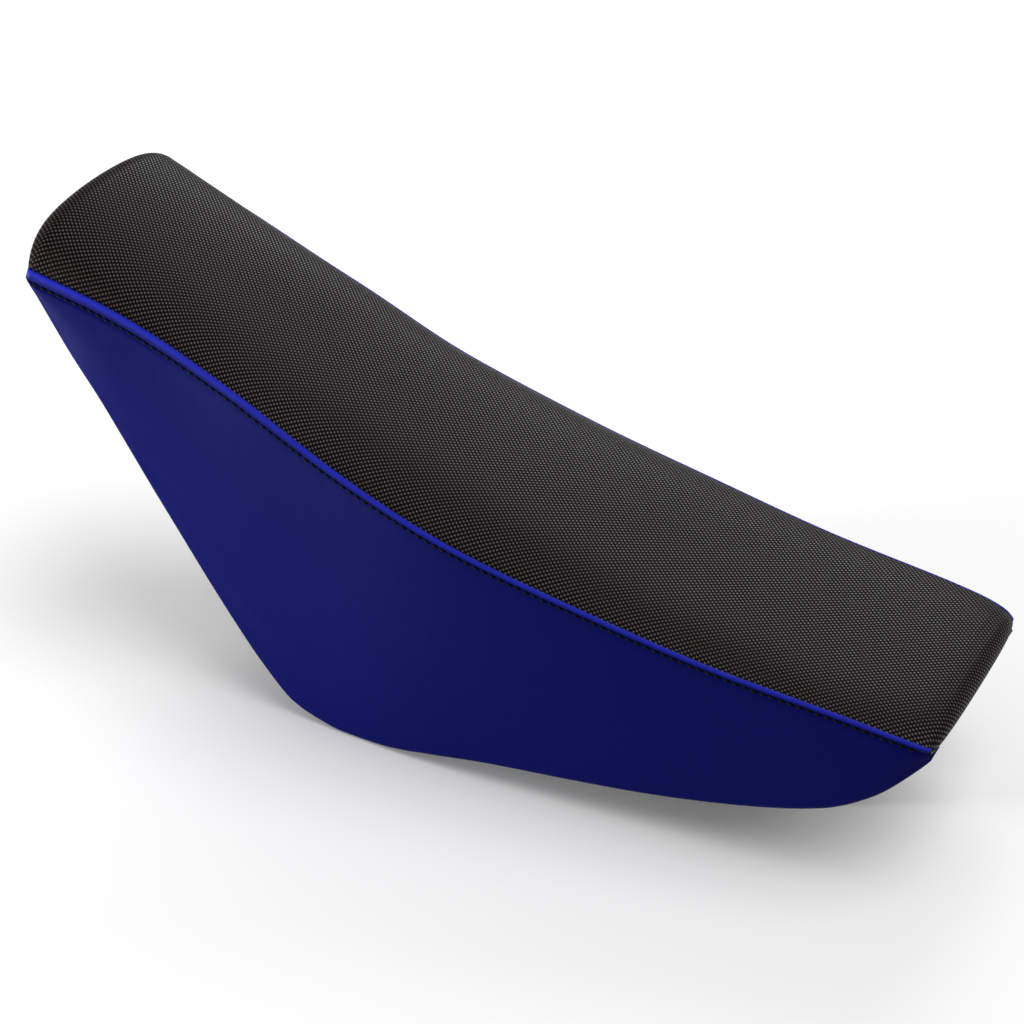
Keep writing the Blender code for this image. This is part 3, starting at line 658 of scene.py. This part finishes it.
def groove_line(count=900):
    """Points along the bottom of the groove, and how far along it each one is."""
    x = np.linspace(SIDE_ENDS[0] + 0.004, SIDE_ENDS[1] - 0.003, count)
    seam = np.stack([x, line_at(SEAM, x)], axis=-1)
    xz = seam - seam_normal(x) * (lip_height(x) + STITCH_BELOW_LIP)[:, None]
    y = line_at(HALF_WIDTH, x) + GROOVE_OUT
    line = np.stack([xz[:, 0], y, xz[:, 1]], axis=-1)
    return line, run_of(line)


def stitch_row():
    """Every stitch as a grid of rings: the middle of the ring follows the groove, rises by
    half a sine wave, and the ring's radius falls to nothing at both ends."""
    line, run = groove_line()
    start = np.arange(run[0] + 0.001, run[-1] - STITCH_LENGTH, STITCH_PITCH)
    share = (1 - np.cos(np.linspace(0.06, math.pi - 0.06, 9))) / 2
    at = start[:, None] + STITCH_LENGTH * share
    middle = np.stack([np.interp(at, run, line[:, k]) for k in range(3)], axis=-1)
    ahead = unit(np.gradient(middle, axis=1))
    out = np.zeros_like(ahead)
    out[..., 1] = 1
    across = unit(np.cross(ahead, out))
    hump = np.sin(math.pi * share)
    middle = middle + out * (STITCH_RISE * hump + STITCH_FLOAT)[None, :, None]
    radius = THREAD_RADIUS * hump**0.4
    turn = np.linspace(0, 2 * math.pi, 8, endpoint=False)
    ring = out[:, :, None] * np.cos(turn)[None, None, :, None] + \
        across[:, :, None] * np.sin(turn)[None, None, :, None]
    return middle[:, :, None] + ring * radius[None, :, None, None]


def tubes(rings):
    """Points and faces of many closed tubes: rings joined in order, each end a fan."""
    count, steps, sides = rings.shape[:3]
    ends = rings[:, [0, -1]].mean(axis=2)
    points = np.concatenate([rings.reshape(-1, 3), ends.reshape(-1, 3)])
    index = np.arange(count * steps * sides).reshape(count, steps, sides)
    around = np.roll(index, -1, axis=2)
    wall = np.stack([index[:, :-1], around[:, :-1], around[:, 1:], index[:, 1:]], axis=-1)
    first = count * steps * sides + 2 * np.arange(count)[:, None]
    low = np.stack([first + 0 * index[:, 0], around[:, 0], index[:, 0]], axis=-1)
    high = np.stack([first + 1 + 0 * index[:, -1], index[:, -1], around[:, -1]], axis=-1)
    caps = np.concatenate([low.reshape(-1, 3), high.reshape(-1, 3)])
    return points, wall.reshape(-1, 4).tolist() + caps.tolist()


stitches = stitch_row()
for word, side in SIDES:
    points, faces = tubes(stitches * (1, side, 1))
    if side < 0:
        faces = [face[::-1] for face in faces]
    row = add_piece("topstitch_" + word, points, faces, thread, None, 0)
    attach(row, "root")
print("stitches a side", len(stitches))

# %% [markdown]
# ## Foam
#
# The foam is moulded in one block. Its top follows the cover from just inside, its skirts
# come down to the base's shelf, and its underside lies on the base. It is open-celled, so
# it is dull, and it has the warm cream colour of fresh polyurethane.

# %% Base and foam sections
FOAM_INSET = 0.0024
FOAM_CLEARANCE = 0.0016
SKIRT_IN, SKIRT_LIFT, SKIRT_TOP = 0.0016, 0.002, 0.004
PAN = 0.003
PAN_ABOVE_HEM = 0.0007
EDGE_INSET = 0.0030
PAN_LIP = 0.012
SHELF = 0.024
CORNER_DROP = 0.006
PAN_ENDS, PAN_ROWS = (-0.2700, 0.2772), 170
FOAM_ENDS, FOAM_ROWS = (-0.2690, 0.2760), 150


def rounded(line, times=3):
    """Corners cut again and again: each inner step keeps its quarter points, so a polyline
    becomes a smooth curve while its two ends stay where they are."""
    for _ in range(times):
        near = 0.75 * line[:, :-1] + 0.25 * line[:, 1:]
        far = 0.25 * line[:, :-1] + 0.75 * line[:, 1:]
        inner = np.stack([near, far], axis=2).reshape(len(line), -1, line.shape[2])
        line = np.concatenate([line[:, :1], inner[:, 1:-1], line[:, -1:]], axis=1)
    return line


def pan_half(x, offset):
    """(y, z) of the base's section from the rim to the middle: lip, shelf, wall, roof, each
    moved inwards or down by an offset."""
    low = line_at(LOWER, x) + COVER + PAN_ABOVE_HEM
    edge = lower_half_width(x) - EDGE_INSET
    roof = line_at(ROOF, x)
    depth = roof - low
    shelf = low + np.minimum(PAN_LIP, 0.45 * depth)
    drop = np.minimum(CORNER_DROP, 0.2 * depth)
    wall = edge - SHELF
    corners = [(edge - offset, low), (edge - offset, shelf - offset),
               (wall - offset, shelf - offset),
               (wall - drop - offset, roof - drop - offset),
               (wall - 2 * drop - 0.6 * offset, roof - offset), (0 * x, roof - offset)]
    return np.stack([np.stack(pair, axis=-1) for pair in corners], axis=1)


def both_sides(x, half):
    """A half section as a full grid: its mirror image, then itself turned round."""
    left = half * (-1, 1)
    full = np.concatenate([left, half[:, -2::-1]], axis=1)
    return np.stack(np.broadcast_arrays(x[:, None], full[:, :, 0], full[:, :, 1]), axis=-1)


def make_foam():
    """Moulded foam: open cells, and a warm cream that shifts slowly."""
    material, tree, shader = finish("foam", Specular_IOR_Level=0.2)
    where = object_place(tree)
    cells = add_node(tree, "ShaderNodeTexVoronoi", {}, {"Vector": where, "Scale": 700.0})
    tone = noise(tree, where, 25.0)
    feed(tree, shader, Base_Color=mix(tree, tone, (0.52, 0.45, 0.30, 1), (0.66, 0.60, 0.44, 1)),
         Roughness=0.88 + 0.1 * cells, Normal=bump(tree, cells, 0.0003))
    return material


def foam_surface():
    """Upper grid, from shelf to shelf over the crown, and lower grid, along the base."""
    x = spread(*FOAM_ENDS, FOAM_ROWS)
    t = np.sin(np.linspace(0, 1, 25) * math.pi / 2)[None, ::-1]
    crown, seam = line_at(CROWN, x) - FOAM_INSET, line_at(SEAM, x) - FOAM_INSET - 0.0008
    half = (line_at(HALF_WIDTH, x) - FOAM_INSET)[:, None]
    over = np.stack([half * t, crown[:, None] + (seam - crown)[:, None] * crown_share(t)], axis=-1)
    base = pan_half(x, 0.0)
    share = np.linspace(0, 1, 22)[None, ::-1]
    swell = 0.6 * SIDE_SWELL * np.sin(math.pi * share)
    swell = swell * level_off(side_height(x)[:, None] / FULL_SWELL_HEIGHT)
    shelf_y, shelf_z = base[:, 1, 0][:, None] - SKIRT_IN, base[:, 1, 1][:, None] + SKIRT_LIFT
    side_y = half * (1 - share) + shelf_y * share + swell - 0.0006
    side_z = (seam[:, None] - SKIRT_TOP) * (1 - share) + shelf_z * share
    outer = np.concatenate([np.stack([side_y, side_z], axis=-1), over], axis=1)
    under = base[:, 1:] + FOAM_CLEARANCE
    under[:, 0, 0] = outer[:, 0, 0] - 0.0006
    under[:, -1, 0] = 0
    under = rounded(under, 4)
    pick = np.linspace(0, 1, outer.shape[1])
    have = np.linspace(0, 1, under.shape[1])
    low = np.clip(np.searchsorted(have, pick) - 1, 0, len(have) - 2)
    part = ((pick - have[low]) / (have[low + 1] - have[low]))[None, :, None]
    inner = under[:, low] * (1 - part) + under[:, low + 1] * part
    return both_sides(x, outer), both_sides(x, inner)


# %% Foam pad
foam = make_foam()
foam_top, foam_under = foam_surface()
foam_pad = add_piece("foam_pad", *skin(foam_top, foam_under), foam, None, 50)
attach(foam_pad, "root")
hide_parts("foam_cushion")
print("foam pad", [round(v, 3) for v in np.ptp(foam_top.reshape(-1, 3), axis=0)])

# %% [markdown]
# ## Base
#
# The base is injection moulded in black polypropylene: a thin channel with an outer lip to
# staple the cover to, a shelf for the foam's skirts, and a roof stiffened by cross ribs.
# It is made as the cover is, from an upper and a lower grid, and each rib is its own plate.

# %% Base pan and ribs
def make_base_plastic():
    """Black polypropylene: a fine spark-eroded mould grain and slow flow marks."""
    material, tree, shader = finish("base_plastic", Specular_IOR_Level=0.4)
    where = object_place(tree)
    grain = noise(tree, where, 1100.0, 3.0, 0.6)
    flow = noise(tree, where, 18.0)
    colour = mix(tree, flow, (0.012, 0.012, 0.013, 1), (0.022, 0.022, 0.024, 1))
    feed(tree, shader, Base_Color=colour, Roughness=0.48 + 0.16 * grain,
         Normal=bump(tree, grain, 0.00008))
    return material


RIB_STATIONS = np.array([-0.175, -0.110, -0.050, 0.030, 0.095, 0.160, 0.232])
RIB_DEPTH, RIB_ARCH, RIB_THICKNESS, RIB_EDGE = 0.014, 0.7, 0.0025, 0.0006
base_plastic = make_base_plastic()
pan_x = spread(*PAN_ENDS, PAN_ROWS)
pan_top = both_sides(pan_x, rounded(pan_half(pan_x, 0.0)))
pan_under = both_sides(pan_x, rounded(pan_half(pan_x, PAN)))
base_shell = add_piece("base_shell", *skin(pan_top, pan_under), base_plastic, None, 50)
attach(base_shell, "root")
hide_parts("base_pan")


def soften(item, width):
    """Round an object's sharp edges by a width."""
    step = item.modifiers.new("soft_edges", "BEVEL")
    step.width = width
    step.segments = 2
    step.limit_method = "ANGLE"
    step.angle_limit = math.radians(40)


def rib_plate(x):
    """Points and faces of a rib: its arched outline twice, a thickness apart."""
    corner = pan_half(np.array([x]), PAN / 2)[0]
    wall, top = corner[3, 0], corner[5, 1]
    arch = np.linspace(-1, 1, 17) * wall
    deeper = smooth((np.abs(arch) / wall - 0.55) / 0.4)
    foot = top - RIB_DEPTH * (RIB_ARCH + (1 - RIB_ARCH) * deeper)
    outline = np.concatenate([np.stack([arch, np.maximum(foot, corner[2, 1])], axis=-1),
                              [(wall, corner[3, 1]), (corner[4, 0], top), (-corner[4, 0], top),
                               (-wall, corner[3, 1])]])
    count = len(outline)
    near = np.full((count, 1), x - RIB_THICKNESS / 2)
    far = np.full((count, 1), x + RIB_THICKNESS / 2)
    rim = [[i, (i + 1) % count, (i + 1) % count + count, i + count] for i in range(count)]
    caps = [list(range(count))[::-1], list(range(count, 2 * count))]
    points = np.concatenate([np.hstack([near, outline]), np.hstack([far, outline])])
    return points, caps + rim


def add_faces(name, points, faces, material, slot, node=None):
    """A hard piece with its faces turned outward, and its body and CAD node set. The slot is not
    used.
    """
    item = add_piece(name, points, faces, material, None, 35, outward=True)
    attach(item, "root")
    if node:
        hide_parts(node)
    return item


for number, x in enumerate(RIB_STATIONS, 1):
    rib = add_faces("base_rib_%d" % number, *rib_plate(x), base_plastic, "base_plastic",
                    "base_pan")
    soften(rib, RIB_EDGE)
print("base shell and", len(RIB_STATIONS), "ribs")

# %% [markdown]
# ## Fixings
#
# Everything round is a profile turned about an axis: a row of radii and heights times the
# cosine and sine of the turn. A hexagonal socket is the same with its radius divided by the
# cosine of the angle to the nearest flat. The folded straps keep the shape that the frame
# gives them, with their edges softened as a tumbling drum leaves them.

# %% Metals and rubber
def make_zinc():
    """Zinc plate: bright grey, faintly mottled, with a fine tooth."""
    material, tree, shader = finish("zinc_steel", Metallic=1.0)
    where = object_place(tree)
    mottle = noise(tree, where, 420.0)
    fine = noise(tree, where, 2600.0, 2.0)
    feed(tree, shader, Base_Color=mix(tree, mottle, (0.50, 0.51, 0.50, 1), (0.66, 0.67, 0.66, 1)),
         Roughness=0.26 + 0.18 * mottle, Normal=bump(tree, fine, 0.00002))
    return material


def make_bracket_paint():
    """Black dip paint on steel: semi-gloss with a fine orange peel."""
    material, tree, shader = finish("bracket_steel", Specular_IOR_Level=0.5, Coat_Weight=0.25)
    where = object_place(tree)
    peel = noise(tree, where, 520.0, 1.0)
    wear = noise(tree, where, 60.0)
    colour = mix(tree, wear, (0.010, 0.010, 0.011, 1), (0.020, 0.020, 0.022, 1))
    feed(tree, shader, Base_Color=colour, Roughness=0.30 + 0.14 * wear,
         Normal=bump(tree, peel, 0.00005))
    return material


def make_rubber():
    """Moulded rubber: matt, with a dusty bloom."""
    material, tree, shader = finish("rubber", Specular_IOR_Level=0.25)
    where = object_place(tree)
    bloom = noise(tree, where, 160.0)
    fine = noise(tree, where, 1800.0)
    colour = mix(tree, bloom, (0.010, 0.010, 0.010, 1), (0.026, 0.025, 0.024, 1))
    feed(tree, shader, Base_Color=colour, Roughness=0.74 + 0.18 * bloom,
         Normal=bump(tree, fine, 0.00006))
    return material


zinc, bracket_paint, rubber = make_zinc(), make_bracket_paint(), make_rubber()


# %% Turned pieces
def turned(profile, place, axis, segments=40):
    """Rings of radius r at height h along an axis from a place. Each profile entry is
    (r, h) or (r, h, 1) for a hexagon across its flats. A closed profile makes a ring."""
    rows = np.array([(*entry, 0)[:3] for entry in profile], float)
    turn = np.linspace(0, 2 * math.pi, segments, endpoint=False)
    flat = np.mod(turn + math.pi / 6, math.pi / 3) - math.pi / 6
    radius = rows[:, :1] * (1 + rows[:, 2:] * (1 / np.cos(flat) - 1))
    axis = unit(np.asarray(axis, float))
    first = unit(np.cross(axis, (0.0, 1.0, 0.0) if abs(axis[1]) < 0.9 else (1.0, 0.0, 0.0)))
    second = np.cross(axis, first)
    ring = first * np.cos(turn)[:, None] + second * np.sin(turn)[:, None]
    height = axis * rows[:, 1][:, None, None]
    points = np.asarray(place) + ring[None] * radius[:, :, None] + height
    index = np.arange(len(rows) * segments).reshape(len(rows), segments)
    caps = [index[0].tolist(), index[-1].tolist()[::-1]]
    if profile[0] == profile[-1]:
        points, index, caps = points[:-1], np.concatenate([index[:-1], index[:1]]), []
    wrapped = np.concatenate([index, index[:, :1]], axis=1)
    return points, quads(wrapped).tolist() + caps


def roof_place(x, y):
    """Point on the base's roof at x, y, and the roof's upward unit vector there."""
    slope = float(line_at(ROOF, x + 0.004) - line_at(ROOF, x - 0.004)) / 0.008
    up = unit(np.array([-slope, 0.0, 1.0]))
    return np.array([x, y, float(line_at(ROOF, x))]), up


PLATE, GAP = 0.003, 0.0003
# profiles as (radius, height), in metres, with a third number where the section is a hexagon
SCREW = [(0.0022, -0.0026, 1), (0.0022, -0.0044, 1), (0.0026, -0.0046), (0.0038, -0.0045),
         (0.0050, -0.0036), (0.0056, -0.0022), (0.0060, -0.0014), (0.0060, -0.0003),
         (0.0028, -0.0003), (0.0028, 0.0070), (0.0024, 0.0075)]
TEE_NUT = [(0.0033, -0.0022), (0.0036, -0.0024), (0.0040, -0.0022), (0.0040, 0.0006),
           (0.0083, 0.0006), (0.0085, 0.0008), (0.0085, 0.0016), (0.0083, 0.0018),
           (0.0036, 0.0018), (0.0033, 0.0015), (0.0033, -0.0022)]
RIVET = [(0.0012, -0.0012), (0.0018, -0.0016), (0.0030, -0.0014), (0.0042, -0.0007),
         (0.0046, -0.0002), (0.0046, 0.0), (0.0022, 0.0), (0.0022, 0.0069), (0.0040, 0.0070),
         (0.0042, 0.0073), (0.0030, 0.0081), (0.0010, 0.0083)]
BUMPER = [(0.0030, -0.0132), (0.0040, -0.0140), (0.0090, -0.0140), (0.0100, -0.0134),
          (0.0108, -0.0120), (0.0110, -0.0105), (0.0110, -0.0005), (0.0106, 0.0),
          (0.0036, 0.0), (0.0036, 0.0039), (0.0055, 0.0040), (0.0058, 0.0044),
          (0.0050, 0.0056), (0.0030, 0.0063)]
GROMMET = [(0.0059, -0.0043), (0.0063, -0.0045), (0.0104, -0.0045), (0.0110, -0.0040),
           (0.0110, -0.0018), (0.0080, -0.0018), (0.0080, 0.0018), (0.0110, 0.0018),
           (0.0110, 0.0040), (0.0104, 0.0045), (0.0063, 0.0045), (0.0059, 0.0043),
           (0.0059, -0.0043)]
COLLAR = [(0.0042, -0.0050), (0.0044, -0.0052), (0.0054, -0.0052), (0.0056, -0.0050),
          (0.0056, 0.0050), (0.0054, 0.0052), (0.0044, 0.0052), (0.0042, 0.0050),
          (0.0042, -0.0050)]
# where the fixings sit, as in the frame
RIVET_SIDE, CATCH_SCREW_SIDE, SLOPE_STEP = 0.011, 0.012, 0.012
TAB_SCREW_STEP, TAB_SCREW_IN = 0.009, 0.014
BUMPERS = (("tank", -0.140, 0.030), ("middle", 0.060, 0.038), ("rear", 0.130, 0.035))
HOOK_X, CATCH_X, TAB_X, TAB_Y, TAB_HOLE = -0.205, -0.005, 0.195, 0.028, 0.018


def add_screw(word, x, y):
    """Screw and tee nut on the roof, named after the frame's screw."""
    place, up = roof_place(x, y)
    seat = place - up * (PAN + PLATE + GAP)
    add_faces(word + "_head", *turned(SCREW, seat, up), zinc, "zinc_steel", word)
    nut = word.replace("screw", "tee_nut")
    add_faces(nut + "_ring", *turned(TEE_NUT, place, up), zinc, "zinc_steel", nut)


hook_cos = roof_place(HOOK_X, 0)[1][2]
catch_cos = roof_place(CATCH_X, 0)[1][2]
for word, side in SIDES:
    for name, x, y in BUMPERS:
        place, up = roof_place(x, side * y)
        node = "%s_bumper_%s" % (name, word)
        add_faces(node + "_rubber", *turned(BUMPER, place - up * (PAN + GAP), up), rubber,
                  "rubber", node)
    place, up = roof_place(HOOK_X + SLOPE_STEP * hook_cos, side * RIVET_SIDE)
    place = place - up * (PAN + PLATE + 2 * GAP)
    add_faces("front_rivet_%s_body" % word, *turned(RIVET, place, up), zinc, "zinc_steel",
              "front_rivet_" + word)
    add_screw("catch_screw_" + word, CATCH_X - SLOPE_STEP * catch_cos, side * CATCH_SCREW_SIDE)
    for number, shift in ((1, -TAB_SCREW_STEP), (2, TAB_SCREW_STEP)):
        add_screw("rear_screw_%s_%d" % (word, number), TAB_X + shift,
                  side * (TAB_Y - TAB_SCREW_IN))
    hole = (TAB_X, side * TAB_Y, TAB_HOLE)
    add_faces("rear_grommet_%s_rubber" % word, *turned(GROMMET, hole, (0, 1, 0)), rubber,
              "rubber", "rear_grommet_" + word)
    add_faces("rear_collar_%s_sleeve" % word, *turned(COLLAR, hole, (0, 1, 0)), zinc,
              "zinc_steel", "rear_collar_" + word)


# %% Straps
STRAP_EDGE = 0.0004


def dressed(node, material, width):
    """A copy of a CAD node with its corners merged, flat faces joined and edges softened."""
    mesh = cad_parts[node].data.copy()
    work = bmesh.new()
    work.from_mesh(mesh)
    bmesh.ops.remove_doubles(work, verts=work.verts, dist=1e-5)
    bmesh.ops.dissolve_limit(work, angle_limit=math.radians(1), verts=work.verts, edges=work.edges)
    work.to_mesh(mesh)
    work.free()
    mesh.materials.clear()
    mesh.materials.append(material)
    mesh.shade_smooth()
    mesh.set_sharp_from_angle(angle=math.radians(35))
    item = bpy.data.objects.new(node + "_strap", mesh)
    bpy.context.scene.collection.objects.link(item)
    soften(item, width)
    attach(item, "root")
    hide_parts(node)
    return item


for node in ("front_hook", "frame_catch", "rear_tab_left", "rear_tab_right"):
    dressed(node, bracket_paint, STRAP_EDGE)

# %% [markdown]
# ## Staples
#
# The hem is held by wire staples driven into the base's rim, one about every 22 mm. A
# staple is a short tube: it rises out of the vinyl, runs 9 mm along the hem and dives back.
# Its crown lies half sunk in the vinyl. The flaps at the nose and the tail have six each.

# %% Staples along the hem and at both ends
STAPLE_PITCH, STAPLE_HALF, STAPLE_WIRE = 0.022, 0.0045, 0.00040
STAPLE_IN = 0.0065
HEM_ENDS = (-0.279, 0.282)
TUCK_Y = np.linspace(-0.055, 0.055, 6)


def staple_rings(centre, along, out):
    """Rings of a bent wire at each centre, six a staple. The ring's facing swings half a
    turn along the wire: it starts along the hem, points out in the middle and ends back."""
    run = np.array([-1.0, -1.0, -0.92, 0.92, 1.0, 1.0]) * STAPLE_HALF
    rise = np.array([-0.0013, -0.0005, -0.0002, -0.0002, -0.0005, -0.0013])
    swing = np.array([0, 0.125, 0.35, 0.65, 0.875, 1.0])[None, :, None] * math.pi
    across = np.cross(along, out)[:, None, None]
    along, out = along[:, None], out[:, None]
    middle = centre[:, None] + along * run[None, :, None] + out * rise[None, :, None]
    facing = unit(out * np.sin(swing) + along * np.cos(swing))[:, :, None]
    turn = np.linspace(0, 2 * math.pi, 6, endpoint=False)[None, None, :, None]
    return middle[:, :, None] + STAPLE_WIRE * (facing * np.cos(turn) + across * np.sin(turn))


def hem_staples():
    """Centres, directions and outward vectors of the staples along one hem."""
    x = np.linspace(*HEM_ENDS, 2000)
    edge = np.stack([x, line_at(LOWER, x)], axis=-1)
    run = run_of(edge)
    at = np.interp(np.arange(0.006, run[-1] - 0.004, STAPLE_PITCH), run, x)
    down = lower_normal(at)
    y = lower_half_width(at) - edge_radius(at) - STAPLE_IN
    centre = np.stack([at, y, line_at(LOWER, at)], axis=-1)
    out = np.stack([down[:, 0], 0 * at, down[:, 1]], axis=-1)
    along = np.stack([-down[:, 1], 0 * at, down[:, 0]], axis=-1)
    return centre, along, out


hem = staple_rings(*hem_staples())
for word, side in SIDES:
    points, faces = tubes(hem * (1, side, 1))
    add_faces("hem_staples_" + word, points, faces, zinc, "zinc_steel")
ones = np.ones(len(TUCK_Y))
for word, ends, facing in (("nose", NOSE_TUCK, -1), ("tail", TAIL_TUCK, 1)):
    middle, run = ends.mean(axis=0), unit(ends[1] - ends[0])
    square = facing * np.abs(run[1]) * np.array([1, -run[0] / run[1]])
    centre = np.stack([middle[0] * ones, TUCK_Y, middle[1] * ones], axis=-1)
    out = np.stack([square[0] * ones, 0 * ones, square[1] * ones], axis=-1)
    along = np.stack([0 * ones, ones, 0 * ones], axis=-1)
    points, faces = tubes(staple_rings(centre, along, out))
    add_faces(word + "_staples", points, faces, zinc, "zinc_steel")
print("staples a side", len(hem), "and", len(TUCK_Y), "at each end")

# %% [markdown]
# ## Where it stands
#
# The seat stands on white paper under a broad window light. A large disc behind it puts a
# low sheen on the studs, and a small lamp near the floor brightens the blue at the nose.

# %% Camera, floor and light
FLOOR_RADIUS = 30
CAMERA_PLACE = (0.6433, -1.2914, 1.0109)
CAMERA_TILT, CAMERA_TURN, CAMERA_LENS = 90 - 31.39, 26.66, 98.44


def add_light(name, place, aim, size, power):
    """A soft round light at a place, turned to face a point."""
    lamp = bpy.data.lights.new(name, "AREA")
    lamp.shape = "DISK"
    lamp.size = size
    lamp.energy = power
    item = bpy.data.objects.new(name, lamp)
    item.location = place
    item.rotation_euler = (Vector(aim) - Vector(place)).to_track_quat("-Z", "Y").to_euler()
    bpy.context.scene.collection.objects.link(item)


def make_floor():
    """A pale round floor, wide enough to fill every view."""
    material, tree, shader = finish("floor_paper", Specular_IOR_Level=0.1)
    tone = noise(tree, object_place(tree), 3.0, 2.0)
    feed(tree, shader, Base_Color=mix(tree, tone, (0.86, 0.86, 0.86, 1), (0.88, 0.88, 0.88, 1)),
         Roughness=0.85 + 0.1 * tone)
    turn = np.linspace(0, 2 * math.pi, 96, endpoint=False)
    rim = FLOOR_RADIUS * np.stack([np.cos(turn), np.sin(turn), 0 * turn], axis=-1)
    floor = add_piece("floor", rim, [list(range(96))], material, None, 0)


make_floor()
camera = bpy.data.objects.new("camera", bpy.data.cameras.new("camera"))
camera.data.lens = CAMERA_LENS
camera.data.sensor_width = 36
camera.location = CAMERA_PLACE
camera.rotation_euler = (math.radians(CAMERA_TILT), 0, math.radians(CAMERA_TURN))
bpy.context.scene.collection.objects.link(camera)
bpy.context.scene.camera = camera
add_light("front_fill", (-1.15, -0.80, 0.12), (-0.27, 0, 0.16), 0.2, 32)
add_light("rear_glow", (-0.60, 3.20, 2.10), (0.05, 0, 0.12), 1.8, 46)
sun = bpy.data.lights.new("window_light", "SUN")
sun.energy = 1.87
sun.angle = math.radians(60)
window_light = bpy.data.objects.new("window_light", sun)
window_light.rotation_euler = Vector((0.50, 0.05, 0.86)).to_track_quat("Z", "Y").to_euler()
bpy.context.scene.collection.objects.link(window_light)
world = bpy.data.worlds.new("studio")
world.use_nodes = True
world.node_tree.nodes["Background"].inputs["Color"].default_value = (1, 1, 1, 1)
world.node_tree.nodes["Background"].inputs["Strength"].default_value = 0.42
bpy.context.scene.world = world
bpy.context.scene.view_settings.view_transform = "Standard"
